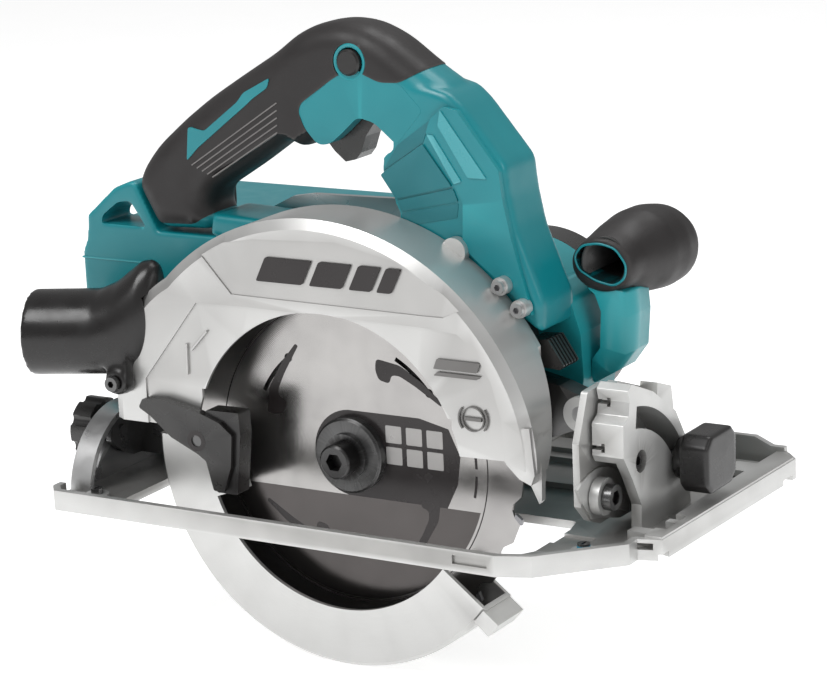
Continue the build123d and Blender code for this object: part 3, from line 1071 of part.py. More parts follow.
for builder, name in ((hook_bracket, "hook_bracket"), (hanging_hook, "hanging_hook"),
                      (shaft_lock_button, "shaft_lock_button"), (work_light, "work_light"),
                      (depth_clamp_bolt, "depth_clamp_bolt"), (depth_lever, "depth_lever"),
                      (depth_guide, "depth_guide"), (front_tilt_plate, "front_tilt_plate"),
                      (depth_pivot_pin, "depth_pivot_pin"), (bevel_bolts, "bevel_bolts"),
                      (stop_lever, "stop_lever"), (front_bevel_guide, "front_bevel_guide"),
                      (rear_bevel_guide, "rear_bevel_guide"), (rear_bevel_knob, "rear_bevel_knob"),
                      (front_bevel_knob, "front_bevel_knob"), (base_plate, "base_plate"),
                      (guide_set_screws, "guide_set_screws")):
    write(builder, name)
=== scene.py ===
"""Looks of the circular saw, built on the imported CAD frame. Metres, the CAD's own axes."""
import math

import bmesh
import bpy
from mathutils import Matrix, Vector


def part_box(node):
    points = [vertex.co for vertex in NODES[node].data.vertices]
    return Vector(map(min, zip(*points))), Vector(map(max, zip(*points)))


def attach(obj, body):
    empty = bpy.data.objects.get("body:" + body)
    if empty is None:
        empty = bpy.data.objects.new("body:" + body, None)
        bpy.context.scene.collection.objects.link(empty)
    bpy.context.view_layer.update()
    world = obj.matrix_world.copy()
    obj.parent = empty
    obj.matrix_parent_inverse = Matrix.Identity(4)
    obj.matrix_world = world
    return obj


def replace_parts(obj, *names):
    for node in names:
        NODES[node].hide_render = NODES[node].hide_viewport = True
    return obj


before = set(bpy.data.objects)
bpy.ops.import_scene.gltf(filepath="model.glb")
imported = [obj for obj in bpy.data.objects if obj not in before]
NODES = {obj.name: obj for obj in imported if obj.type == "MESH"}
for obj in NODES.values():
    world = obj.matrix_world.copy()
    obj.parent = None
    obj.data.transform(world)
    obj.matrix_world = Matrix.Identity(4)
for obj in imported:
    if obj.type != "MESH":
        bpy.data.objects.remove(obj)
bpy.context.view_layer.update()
MM = 0.001
ARBOR = (0.0, 29.0)                 # x and z of the blade's axis, in millimetres


# ---- materials ----------------------------------------------------------------------------
def noise(tree, scale, detail=3.0):
    """A noise texture fixed to the object's own coordinates."""
    place = tree.nodes.new("ShaderNodeTexCoord")
    texture = tree.nodes.new("ShaderNodeTexNoise")
    texture.inputs["Scale"].default_value = scale
    texture.inputs["Detail"].default_value = detail
    tree.links.new(place.outputs["Object"], texture.inputs["Vector"])
    return texture.outputs["Fac"]


def spread(tree, value, low, high, first=0.3, last=0.7):
    """Maps a noise value onto a range."""
    ranged = tree.nodes.new("ShaderNodeMapRange")
    ranged.inputs["From Min"].default_value = first
    ranged.inputs["From Max"].default_value = last
    ranged.inputs["To Min"].default_value = low
    ranged.inputs["To Max"].default_value = high
    tree.links.new(value, ranged.inputs["Value"])
    return ranged.outputs["Result"]


def blend_colours(tree, factor, first, second):
    """Mixes two colours, or a socket and a colour, by a factor socket."""
    mix = tree.nodes.new("ShaderNodeMix")
    mix.data_type = "RGBA"
    tree.links.new(factor, mix.inputs["Factor"])
    for socket, value in ((mix.inputs[6], first), (mix.inputs[7], second)):
        if isinstance(value, bpy.types.NodeSocket):
            tree.links.new(value, socket)
        else:
            socket.default_value = (*value, 1.0)
    return mix.outputs[2]


def surface(name, colour, shade, roughness, metallic=0.0, grain=1500.0, bump=0.1, cloud=20.0,
            edge_highlight=None, rings=0.0, coat=0.0):
    """A procedural material: mottled colour, painted highlights on convex edges, uneven gloss and a fine
    moulded or cast grain.
    """
    material = bpy.data.materials.new(name)
    material.use_nodes = True
    tree = material.node_tree
    shader = tree.nodes["Principled BSDF"]
    tint = blend_colours(tree, spread(tree, noise(tree, cloud), 0.0, 1.0), colour, shade)
    # painted highlight: convex edges, found by pointiness, are mixed toward a lighter colour
    if edge_highlight:
        relief = tree.nodes.new("ShaderNodeNewGeometry")
        edge_highlight_mask = spread(tree, relief.outputs["Pointiness"], 0.0, 1.0, 0.52, 0.60)
        tint = blend_colours(tree, edge_highlight_mask, tint, edge_highlight)
    tree.links.new(tint, shader.inputs["Base Color"])
    gloss = spread(tree, noise(tree, cloud * 4, 5.0), *roughness)
    tree.links.new(gloss, shader.inputs["Roughness"])
    shader.inputs["Metallic"].default_value = metallic
    if coat:
        shader.inputs["Coat Weight"].default_value = coat
        shader.inputs["Coat Roughness"].default_value = 0.2
    height = noise(tree, grain, 2.0)
    if rings:
        place = tree.nodes.new("ShaderNodeTexCoord")
        centre = tree.nodes.new("ShaderNodeMapping")
        centre.inputs["Location"].default_value = (0.0, 0.0, -ARBOR[1] * MM)
        wave = tree.nodes.new("ShaderNodeTexWave")
        wave.wave_type = "RINGS"
        wave.rings_direction = "Y"
        wave.inputs["Scale"].default_value = rings
        wave.inputs["Distortion"].default_value = 1.2
        wave.inputs["Detail"].default_value = 2.0
        tree.links.new(place.outputs["Object"], centre.inputs["Vector"])
        tree.links.new(centre.outputs["Vector"], wave.inputs["Vector"])
        height = wave.outputs["Fac"]
    relief_node = tree.nodes.new("ShaderNodeBump")
    relief_node.inputs["Strength"].default_value = bump
    relief_node.inputs["Distance"].default_value = 0.1 * MM
    tree.links.new(height, relief_node.inputs["Height"])
    tree.links.new(relief_node.outputs["Normal"], shader.inputs["Normal"])
    return material


# the edge colours given below are painted highlights on convex edges
TEAL = surface("teal_plastic", (0.002, 0.235, 0.27), (0.002, 0.20, 0.235), (0.30, 0.42), bump=0.25,
               edge_highlight=(0.02, 0.36, 0.40), coat=0.15)
RUBBER = surface("black_rubber", (0.013, 0.011, 0.011), (0.020, 0.017, 0.017), (0.42, 0.58), bump=0.5,
                 grain=1100.0,
                 edge_highlight=(0.06, 0.055, 0.052))
BLACK = surface("black_plastic", (0.007, 0.006, 0.006), (0.011, 0.010, 0.010), (0.22, 0.36), bump=0.25,
                edge_highlight=(0.035, 0.034, 0.033))
SILVER = surface("silver_coating", (0.47, 0.465, 0.455), (0.41, 0.405, 0.397), (0.28, 0.38), metallic=0.7,
                 bump=0.25, grain=2200.0, cloud=12.0, edge_highlight=(0.62, 0.62, 0.61), coat=0.1)
CAST = surface("cast_alloy", (0.44, 0.435, 0.422), (0.36, 0.356, 0.346), (0.32, 0.48), metallic=0.65,
               bump=0.6,
               grain=1400.0, cloud=18.0, edge_highlight=(0.62, 0.62, 0.61))
GUARD = surface("guard_alloy", (0.46, 0.457, 0.45), (0.40, 0.397, 0.39), (0.28, 0.40), metallic=0.75,
                bump=0.2,
                rings=180.0, edge_highlight=(0.62, 0.62, 0.61))
BLADE = surface("blade_steel", (0.42, 0.41, 0.40), (0.34, 0.33, 0.325), (0.16, 0.26), metallic=1.0,
                bump=0.10,
                rings=420.0)
STEEL = surface("grey_steel", (0.40, 0.40, 0.41), (0.32, 0.32, 0.33), (0.26, 0.44), metallic=0.95, bump=0.2,
                edge_highlight=(0.6, 0.6, 0.6))
DARK_STEEL = surface("dark_steel", (0.035, 0.034, 0.034), (0.05, 0.048, 0.048), (0.22, 0.38), metallic=0.85,
                     bump=0.2, edge_highlight=(0.14, 0.14, 0.14))
CARBIDE = surface("carbide", (0.30, 0.30, 0.31), (0.24, 0.24, 0.25), (0.25, 0.4), metallic=0.9, bump=0.3)
CORE = surface("core_steel", (0.28, 0.28, 0.29), (0.2, 0.2, 0.21), (0.35, 0.5), metallic=0.9, bump=0.4)
COPPER = surface("copper", (0.70, 0.30, 0.15), (0.58, 0.24, 0.12), (0.25, 0.4), metallic=1.0, bump=0.4,
                 grain=700.0)
BOARD = surface("circuit_board", (0.02, 0.10, 0.05), (0.03, 0.13, 0.07), (0.3, 0.5), bump=0.4, grain=500.0)
# painted shade: a darker copy of the teal for recessed steps and grooves
TEAL_PAINTED_SHADE = surface("teal_plastic_painted_shade", (0.004, 0.16, 0.19), (0.004, 0.14, 0.165), (0.32, 0.45), bump=0.25,
                    edge_highlight=(0.05, 0.36, 0.40))
# painted highlight: a lighter copy of the teal for facets that catch the light
TEAL_PAINTED_HIGHLIGHT = surface("teal_plastic_painted_highlight", (0.06, 0.36, 0.40), (0.05, 0.32, 0.36), (0.24, 0.34), bump=0.2,
                     edge_highlight=(0.12, 0.46, 0.5))
PALE_GREY = surface("pale_grey_rib", (0.20, 0.19, 0.185), (0.16, 0.15, 0.15), (0.35, 0.5), bump=0.2)
GREY_PRINT = surface("grey_print", (0.17, 0.165, 0.16), (0.14, 0.135, 0.13), (0.35, 0.5), bump=0.05)
SMOKE_PRINT = surface("smoke_print", (0.10, 0.092, 0.09), (0.08, 0.074, 0.072), (0.14, 0.22), bump=0.05,
                      metallic=0.9, rings=420.0)
PRINT = surface("dark_print", (0.020, 0.017, 0.017), (0.030, 0.026, 0.026), (0.20, 0.30), bump=0.05,
                metallic=0.3)
PALE_PRINT = surface("pale_print", (0.42, 0.41, 0.40), (0.36, 0.35, 0.345), (0.25, 0.4), bump=0.05,
                     metallic=0.3)
LENS = surface("lamp_lens", (0.75, 0.76, 0.78), (0.68, 0.70, 0.73), (0.12, 0.2), bump=0.2, grain=600.0)
BLUE = surface("thread_lock_blue", (0.02, 0.30, 0.42), (0.02, 0.24, 0.36), (0.4, 0.6), bump=0.6, grain=900.0)

FINISHES = (
    (TEAL, "handle_shell_right handle_shell_left motor_housing battery_housing front_grip_core"),
    (RUBBER, "handle_rubber front_grip_rubber"),
    (BLACK, "motor_end_cover trigger lock_off_button dust_nozzle shaft_lock_button front_bevel_knob"
            " rear_bevel_knob latch_button_right latch_button_left battery_pack_right battery_pack_left"
            " cooling_fan terminal_blocks guard_lever trigger_switch"),
    (SILVER, "blade_case case_back_plate"),
    (CAST, "base_plate front_bevel_guide front_tilt_plate stop_lever"),
    (GUARD, "lower_guard"),
    (BLADE, "saw_blade"),
    (STEEL, "hook_bracket hanging_hook rear_bevel_guide depth_lever depth_clamp_bolt"
            " depth_pivot_pin trigger_pin spindle rotor_shaft spindle_gear idler_gear spindle_bearings"
            " motor_bearings case_screws inner_flange"),
    (DARK_STEEL, "gear_housing depth_guide bevel_bolts outer_flange blade_bolt housing_screws lever_screw"
                 " nozzle_screw guide_set_screws"),
    (CARBIDE, "carbide_tips"),
    (CORE, "stator rotor_core"),
    (COPPER, "stator_windings"),
    (BOARD, "controller"),
    (LENS, "work_light"),
)


def dress(node, material, width=0.5):
    """Gives a CAD node its finish and softly rounded edges."""
    part = NODES[node]
    part.data.materials.clear()
    part.data.materials.append(material)
    for polygon in part.data.polygons:
        polygon.material_index = 0
    rounding = part.modifiers.new("rounding", "BEVEL")
    rounding.width = width * MM
    rounding.segments = 2
    rounding.limit_method = "ANGLE"
    rounding.angle_limit = math.radians(35)
    rounding.harden_normals = False
    weighted = part.modifiers.new("weighted", "WEIGHTED_NORMAL")
    weighted.keep_sharp = True


EDGE_WIDTHS = {"front_bevel_guide": 0.9, "base_plate": 0.8, "rear_bevel_knob": 1.0}
for finish_material, node_names in FINISHES:
    for node_name in node_names.split():
        dress(node_name, finish_material, EDGE_WIDTHS.get(node_name, 0.5))


# ---- mesh helpers -------------------------------------------------------------------------
def place(u, v, depth, axis):
    """A point of an outline, in metres, on the plane across the given axis."""
    if axis == "X":
        return Vector((depth, u, v)) * MM
    if axis == "Y":
        return Vector((u, depth, v)) * MM
    return Vector((u, v, depth)) * MM


def circle(centre, radius, steps=48, first=0.0, last=360.0):
    """Points on a circle, or on part of one, in millimetres."""
    full = abs(last - first) >= 360
    count = steps if full else steps + 1
    points = []
    for i in range(count):
        angle = math.radians(first + (last - first) * i / steps)
        points.append((centre[0] + radius * math.cos(angle), centre[1] + radius * math.sin(angle)))
    return points


def rounded(points, radius, steps=5):
    """A polygon with its corners turned into arcs."""
    result = []
    for i, corner in enumerate(points):
        here = Vector(corner)
        back = Vector(points[i - 1]) - here
        ahead = Vector(points[(i + 1) % len(points)]) - here
        reach = min(radius, back.length * 0.45, ahead.length * 0.45)
        start = here + back.normalized() * reach
        end = here + ahead.normalized() * reach
        for step in range(steps + 1):
            t = step / steps
            spot = start * (1 - t) ** 2 + here * 2 * t * (1 - t) + end * t ** 2
            result.append((spot.x, spot.y))
    return result


def settle(name, bm, material, body, bevel=0.0, smooth=32.0, subdivide=0):
    """Turns a bmesh into a shaded piece that rides on a body."""
    bmesh.ops.remove_doubles(bm, verts=bm.verts, dist=0.001 * MM)
    bmesh.ops.recalc_face_normals(bm, faces=bm.faces)
    mesh = bpy.data.meshes.new(name)
    bm.to_mesh(mesh)
    bm.free()
    mesh.shade_smooth()
    mesh.set_sharp_from_angle(angle=math.radians(smooth))
    mesh.materials.append(material)
    piece = bpy.data.objects.new(name, mesh)
    bpy.context.scene.collection.objects.link(piece)
    if bevel:
        rounding = piece.modifiers.new("rounding", "BEVEL")
        rounding.width = bevel * MM
        rounding.segments = 3
        rounding.limit_method = "ANGLE"
        rounding.angle_limit = math.radians(32)
        weighted = piece.modifiers.new("weighted", "WEIGHTED_NORMAL")
        weighted.keep_sharp = True
    if subdivide:
        rounding = piece.modifiers.new("subdivision", "SUBSURF")
        rounding.levels = subdivide
        rounding.render_levels = subdivide
    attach(piece, body)
    return piece


def add_prism(bm, outline, low, high, axis="Y", holes=()):
    """Adds a straight prism, with optional holes, to a bmesh."""
    edges = []
    for loop in (outline, *holes):
        verts = [bm.verts.new(place(u, v, low, axis)) for u, v in loop]
        for i, vert in enumerate(verts):
            edges.append(bm.edges.new((vert, verts[(i + 1) % len(verts)])))
    filled = bmesh.ops.triangle_fill(bm, use_beauty=True, edges=edges)
    faces = [item for item in filled["geom"] if isinstance(item, bmesh.types.BMFace)]
    grown = bmesh.ops.extrude_face_region(bm, geom=faces, use_keep_orig=True)
    moved = [item for item in grown["geom"] if isinstance(item, bmesh.types.BMVert)]
    bmesh.ops.translate(bm, verts=moved, vec=place(0, 0, high - low, axis))


def prism(name, outline, low, high, material, body, axis="Y", holes=(), bevel=0.4):
    """A straight prism as a piece of its own."""
    bm = bmesh.new()
    add_prism(bm, outline, low, high, axis, holes)
    return settle(name, bm, material, body, bevel=bevel)


def add_rings(bm, rings, closed_ends=True, loop=False):
    """Joins rings of equally many points with quads."""
    layers = [[bm.verts.new(Vector(point) * MM) for point in ring] for ring in rings]
    pairs = list(zip(layers, layers[1:]))
    if loop:
        pairs.append((layers[-1], layers[0]))
    for lower, upper in pairs:
        for i, vert in enumerate(lower):
            after = (i + 1) % len(lower)
            bm.faces.new((vert, lower[after], upper[after], upper[i]))
    if closed_ends and not loop:
        bm.faces.new(list(reversed(layers[0])))
        bm.faces.new(layers[-1])


def frame_of(direction):
    """Two unit vectors square to a direction."""
    ahead = Vector(direction).normalized()
    helper = Vector((0, 0, 1)) if abs(ahead.z) < 0.9 else Vector((1, 0, 0))
    across = helper.cross(ahead).normalized()
    return ahead, across, ahead.cross(across)


def add_turned(bm, origin, direction, profile, steps=48, sides=None, closed=True):
    """Adds a turned body; the profile lists (distance along the axis, radius)."""
    ahead, across, up = frame_of(direction)
    rings = []
    for along, radius in profile:
        ring = []
        for i in range(sides or steps):
            angle = 2 * math.pi * i / (sides or steps)
            spoke = across * math.cos(angle) + up * math.sin(angle)
            ring.append(Vector(origin) + ahead * along + spoke * radius)
        rings.append(ring)
    add_rings(bm, rings, closed_ends=closed)


def turned(name, origin, direction, profile, material, body, steps=48, smooth=32.0):
    bm = bmesh.new()
    add_turned(bm, origin, direction, profile, steps)
    return settle(name, bm, material, body, smooth=smooth)


# ---- softened bodies ----------------------------------------------------------------------
def inset_ring(points, inset):
    """Moves every point of a closed outline inward along the outline's normal."""
    area = sum(points[i - 1][0] * points[i][1] - points[i][0] * points[i - 1][1] for i in range(len(points)))
    turn = 1.0 if area > 0 else -1.0
    result = []
    for i, point in enumerate(points):
        before = Vector(points[i - 1])
        after = Vector(points[(i + 1) % len(points)])
        along = (after - before).normalized()
        result.append((point[0] - turn * along.y * inset, point[1] + turn * along.x * inset))
    return result


def add_pillow(bm, outline, low, high, round_in, round_out, axis="Y", steps=5):
    """Adds a slab whose rim is rounded: round_in within its outline, round_out across it."""
    rings = []
    for side, sign in ((low, 1.0), (high, -1.0)):
        layers = []
        for step in range(steps + 1):
            angle = math.pi / 2 * step / steps
            ring = inset_ring(outline, round_in * (1 - math.sin(angle)))
            depth = side + sign * round_out * (1 - math.cos(angle))
            layers.append([place(u, v, depth, axis) / MM for u, v in ring])
        rings += layers if sign > 0 else reversed(layers)
    add_rings(bm, rings)


def remeshed(name, bm, voxel, rounds, factor=0.5):
    """Melts the bodies of a bmesh into one skin with flowing corners; gives back a mesh."""
    bmesh.ops.recalc_face_normals(bm, faces=bm.faces)
    rough = bpy.data.meshes.new(name + "_rough")
    bm.to_mesh(rough)
    bm.free()
    helper = bpy.data.objects.new(name + "_rough", rough)
    bpy.context.scene.collection.objects.link(helper)
    skin = helper.modifiers.new("skin", "REMESH")
    skin.mode = "VOXEL"
    skin.voxel_size = voxel * MM
    melt = helper.modifiers.new("melt", "SMOOTH")
    melt.factor = factor
    melt.iterations = rounds
    bpy.context.view_layer.update()
    graph = bpy.context.evaluated_depsgraph_get()
    mesh = bpy.data.meshes.new_from_object(helper.evaluated_get(graph))
    bpy.data.objects.remove(helper)
    return mesh


def carved(mesh, cutter_bm, keep_inside):
    """The part of a mesh inside, or outside, a cutter; gives back a new mesh."""
    bmesh.ops.recalc_face_normals(cutter_bm, faces=cutter_bm.faces)
    cutter_mesh = bpy.data.meshes.new("cutter")
    cutter_bm.to_mesh(cutter_mesh)
    cutter_bm.free()
    body = bpy.data.objects.new("body", mesh)
    cutter = bpy.data.objects.new("cutter", cutter_mesh)
    for helper in (body, cutter):
        bpy.context.scene.collection.objects.link(helper)
    cut = body.modifiers.new("cut", "BOOLEAN")
    cut.object = cutter
    cut.operation = "INTERSECT" if keep_inside else "DIFFERENCE"
    cut.solver = "EXACT"
    bpy.context.view_layer.update()
    graph = bpy.context.evaluated_depsgraph_get()
    result = bpy.data.meshes.new_from_object(body.evaluated_get(graph))
    bpy.data.objects.remove(body)
    bpy.data.objects.remove(cutter)
    return result


def swell(mesh, amount):
    """Moves a skin outward along its normals, in millimetres."""
    normals = [vert.normal.copy() for vert in mesh.vertices]
    for vert, normal in zip(mesh.vertices, normals):
        vert.co += normal * amount * MM


def stand_mesh(name, mesh, material, body, smooth=40.0):
    """Puts a finished mesh into the scene as a piece."""
    mesh.name = name
    mesh.materials.clear()
    mesh.materials.append(material)
    mesh.shade_smooth()
    mesh.set_sharp_from_angle(angle=math.radians(smooth))
    piece = bpy.data.objects.new(name, mesh)
    bpy.context.scene.collection.objects.link(piece)
    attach(piece, body)
    return piece


def from_node(bm, node):
    """Adds a CAD node's mesh to a bmesh."""
    bm.from_mesh(NODES[node].data)


# ---- main handle --------------------------------------------------------------------------
HANDLE_Y = (11.4, 44.6)
GRIP_LINE = [(-131, 149), (-127, 158), (-118, 169), (-101, 183), (-85, 194.5), (-67, 205.5), (-45, 218.5),
             (-33, 227.5),
             (-22, 232.5), (-8, 235), (6, 233.5), (20, 227.5), (36, 216), (53, 205.5), (50, 188), (30, 184),
             (18, 184), (6, 190), (-8, 188), (-20, 180), (-27, 176.5), (-32, 173), (-41, 177), (-63, 162),
             (-85, 148.5), (-88, 141), (-84, 133), (-90, 128), (-119, 127)]
POST_LINE = [(6, 207), (24, 210), (40, 208), (53, 205), (60, 199), (82, 172.5), (83.5, 158), (87, 141),
             (100, 108), (99, 94), (56, 119), (24, 125), (24, 133), (26, 146), (15, 164), (15.5, 171),
             (24, 178), (22, 186), (4, 200)]
TRIGGER_SHROUD = [(-28.5, 193), (-26, 184), (-19, 176.5), (-12.5, 177), (-6, 182), (4, 191), (13, 189),
                  (25, 179),
                  (40, 196), (28, 208), (8, 212), (-8, 210)]
RUBBER_ZONE = [(-140, 152), (-132, 172), (-90, 205), (-50, 230), (-30, 245), (10, 245), (60, 228),
               (46, 218.8),
               (43.5, 217.2), (28, 208.8), (17, 208.5), (8, 212), (1.5, 215), (-10.5, 208), (-27.8, 196.2),
               (-29.5, 192), (-26.5, 184), (-19, 176), (-16, 168), (-40, 168), (-84, 139), (-96, 132),
               (-118, 131), (-134, 144)]


def build_handle():
    """Skins of the main handle, with the lock-off collars, shrouds, inlays and ribs."""
    bm = bmesh.new()
    add_pillow(bm, rounded(GRIP_LINE, 6, 3), *HANDLE_Y, 11.0, 12.0)
    add_pillow(bm, rounded(POST_LINE, 3, 3), *HANDLE_Y, 4.0, 3.5)
    add_pillow(bm, rounded([(-84, 138), (-86, 127), (-60, 121), (56, 121), (24, 134)], 2, 3), 11.6, 44.4, 3,
               3)
    skin = remeshed("handle", bm, 1.15, 9)
    zone = bmesh.new()
    add_prism(zone, rounded(RUBBER_ZONE, 3, 4), 0, 60)
    rubber = carved(skin.copy(), zone, True)
    swell(rubber, 0.45)
    zone = bmesh.new()
    add_prism(zone, rounded(RUBBER_ZONE, 3, 4), 0, 60)
    shell = carved(skin, zone, False)
    # round opening for the lock-off button, and its raised collar
    socket = bmesh.new()
    add_turned(socket, (1, 0, 217), (0, 1, 0), [(0, 9.0), (60, 9.0)], 40)
    rubber = carved(rubber, socket, False)
    grip = stand_mesh("handle_grip_rubber", rubber, RUBBER, "saw_body")
    body = stand_mesh("handle_teal_shell", shell, TEAL, "saw_body")
    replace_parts(grip, "handle_rubber")
    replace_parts(body, "handle_shell_right", "handle_shell_left")
    for name, wall, way in (("right", HANDLE_Y[0], 1), ("left", HANDLE_Y[1], -1)):
        collar = turned("lock_off_collar_" + name, (1, wall - way * 0.2, 217), (0, way, 0),
                        [(6, 6.75), (0.9, 6.75), (0.2, 7.1), (0, 7.6), (0.0, 8.5), (0.5, 8.95), (6, 8.95)],
                        TEAL, "saw_body")
    # two-shot trigger shroud, a raised facet on each side
    for name, low, high in (("right", HANDLE_Y[0] - 0.1, 20.0), ("left", 36.0, HANDLE_Y[1] + 0.1)):
        prism("trigger_shroud_" + name, rounded(TRIGGER_SHROUD, 3, 4), low, high, TEAL, "saw_body",
              bevel=1.6)
    # teal inlay and thin ribs on the side of the grip
    inlay = [(-95.7, 164), (-93.8, 181), (-84.3, 179.5), (-63.8, 194.9), (-60, 199.5), (-44.4, 207.5),
             (-45.9, 202.6), (-54.9, 196.8), (-58.6, 193.7), (-88.6, 170.9)]
    for name, low, high in (("right", HANDLE_Y[0] - 0.9, 15.0), ("left", 41.0, HANDLE_Y[1] + 0.9)):
        prism("grip_inlay_" + name, rounded(inlay, 1.6, 3), low, high, TEAL, "saw_body", bevel=0.8)
        for line in range(5):
            share = line / 4
            start = Vector((-93.0 + 12.0 * share, 162.0 - 5.2 * share))
            end = Vector((-41.0 - 0.5 * share, 195.6 - 14.4 * share))
            side = (end - start).normalized().orthogonal() * 0.3
            rib = [tuple(start - side), tuple(end - side), tuple(end + side), tuple(start + side)]
            prism(f"grip_rib_{name}_{line}", rib, low + 0.1, high - 0.1, PALE_GREY, "saw_body", bevel=0.1)


def build_post_facets():
    """Stepped facets moulded into the right side of the handle's front post; the steps are drawn in teal with
    painted shade, two facets in teal with painted highlight.
    """
    face = HANDLE_Y[0]
    front_panel = [(45, 192.6), (42.4, 186), (56.5, 163), (61, 154.5), (60, 133), (84, 114), (96, 103),
                   (86, 139),
                   (82, 158), (80.5, 171), (59.5, 197.5), (52, 199)]
    prism("post_front_panel", rounded(front_panel, 1.6, 3), face - 2.4, face + 3, TEAL, "saw_body",
          bevel=1.4)
    # the four steps take the darker teal copy: painted shade in the creases
    prism("post_upper_step", rounded([(25.5, 179), (44, 192), (39.6, 180.9), (17, 166.2)], 1.0, 3),
          face - 0.3,
          face + 3, TEAL_PAINTED_SHADE, "saw_body", bevel=0.6)
    prism("post_middle_step", rounded([(16, 164.5), (39.6, 180.5), (54.5, 161.4), (24, 153.4)], 1.0, 3),
          face - 1.2, face + 3, TEAL_PAINTED_SHADE, "saw_body", bevel=0.9)
    prism("post_lower_step", rounded([(24.4, 152.6), (55, 160.4), (57.5, 154.4), (26.4, 147.5)], 0.8, 3),
          face - 0.7, face + 3, TEAL_PAINTED_SHADE, "saw_body", bevel=0.6)
    prism("post_foot_step", rounded([(26.4, 146.6), (57.5, 153.4), (56.5, 146.4), (26.4, 140.2)], 0.8, 3),
          face - 0.3, face + 3, TEAL_PAINTED_SHADE, "saw_body", bevel=0.6)
    # the two facets take the lighter teal copy: painted highlight
    for number, facet in enumerate(([(49.5, 190), (51, 197.5), (74.5, 166.5), (64.5, 166.5)],
                                    [(43.4, 185.6), (46.8, 185.4), (61, 164.4), (57, 163)])):
        prism(f"post_facet_{number}", rounded(facet, 0.8, 3), face - 3.1, face, TEAL_PAINTED_HIGHLIGHT, "saw_body",
              bevel=0.7)


# ---- rear housing, nozzle and front grip --------------------------------------------------
def melted_node(name, node, material, voxel, rounds, body="saw_body"):
    """Stands a softened copy of a CAD node in its place."""
    bm = bmesh.new()
    from_node(bm, node)
    piece = stand_mesh(name, remeshed(name, bm, voxel, rounds), material, body)
    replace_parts(piece, node)
    return piece


def build_rear():
    """Softened battery housing with its carrying loop."""
    bm = bmesh.new()
    from_node(bm, "battery_housing")
    loop_hole = bmesh.new()
    add_prism(loop_hole, rounded([(-155, 127.2), (-154, 131.6), (-144, 139), (-136.5, 140), (-127, 127.2)],
                                 2, 3), 0, 42)
    skin = carved(remeshed("battery_housing_skin", bm, 1.2, 4), loop_hole, False)
    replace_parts(stand_mesh("battery_housing_skin", skin, TEAL, "saw_body"), "battery_housing")
    # shallow parting line along the top cover, drawn in the darker teal: partly the joint, partly painted
    # shade in its groove
    prism("housing_seam", [(-168.3, 108.6), (-168.3, 109.4), (-120, 109.4), (-120, 108.6)], 15.6, 17,
          TEAL_PAINTED_SHADE,
          "saw_body", bevel=0.1)


def build_nozzle():
    bm = bmesh.new()
    yaw = math.radians(17)
    ahead = Vector((math.cos(yaw), math.sin(yaw), 0.03)).normalized()
    mouth = Vector((-168.0, -27.0, 80.0))
    across = Vector((math.sin(yaw), -math.cos(yaw), 0))
    up = Vector((0, 0, 1))
    sections = ((0, 0, 0, 21.4, 21.4), (36, 0, 0, 21.4, 21.4), (46, 0.5, 2.0, 21.4, 23.5),
                (54, 1.5, 5.5, 20.0, 26.0),
                (60, 3.0, 8.5, 17.5, 27.5), (66, 4.5, 11.0, 13.0, 26.0), (70, 5.5, 12.5, 8.0, 22.0))
    rings = []
    for along, shift, rise, half_across, half_up in sections:
        centre = mouth + ahead * along + across * shift + up * rise
        rings.append([centre + across * half_across * math.cos(a) + up * half_up * math.sin(a)
                      for a in (2 * math.pi * i / 40 for i in range(40))])
    add_rings(bm, rings)
    add_turned(bm, (-115.5, -25, 60.5), (0, -1, 0), [(0, 7.2), (8.6, 6.4)], 24)
    add_prism(bm, [(-119, 56), (-109, 62), (-112, 80), (-128, 80)], -31.5, -25)
    skin = remeshed("nozzle", bm, 1.2, 10)
    hollow = bmesh.new()
    add_turned(hollow, mouth - ahead * 5, ahead, [(0, 19.4), (44, 19.4), (60, 11.0), (76, 11.0)], 40)
    skin = carved(skin, hollow, False)
    case_block = bmesh.new()
    add_prism(case_block, [(-123, 30), (-123, 60), (-119, 76), (-113, 90), (-103, 102), (-89, 113),
                           (-40, 140),
                           (0, 140), (0, 30)], -25.1, 30)
    skin = carved(skin, case_block, False)
    screw_seat = bmesh.new()
    add_turned(screw_seat, (-115.5, -33, 60.5), (0, -1, 0), [(0, 4.3), (10, 4.3)], 24)
    skin = carved(skin, screw_seat, False)
    piece = stand_mesh("dust_nozzle_skin", skin, BLACK, "saw_body", smooth=50)
    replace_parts(piece, "dust_nozzle")


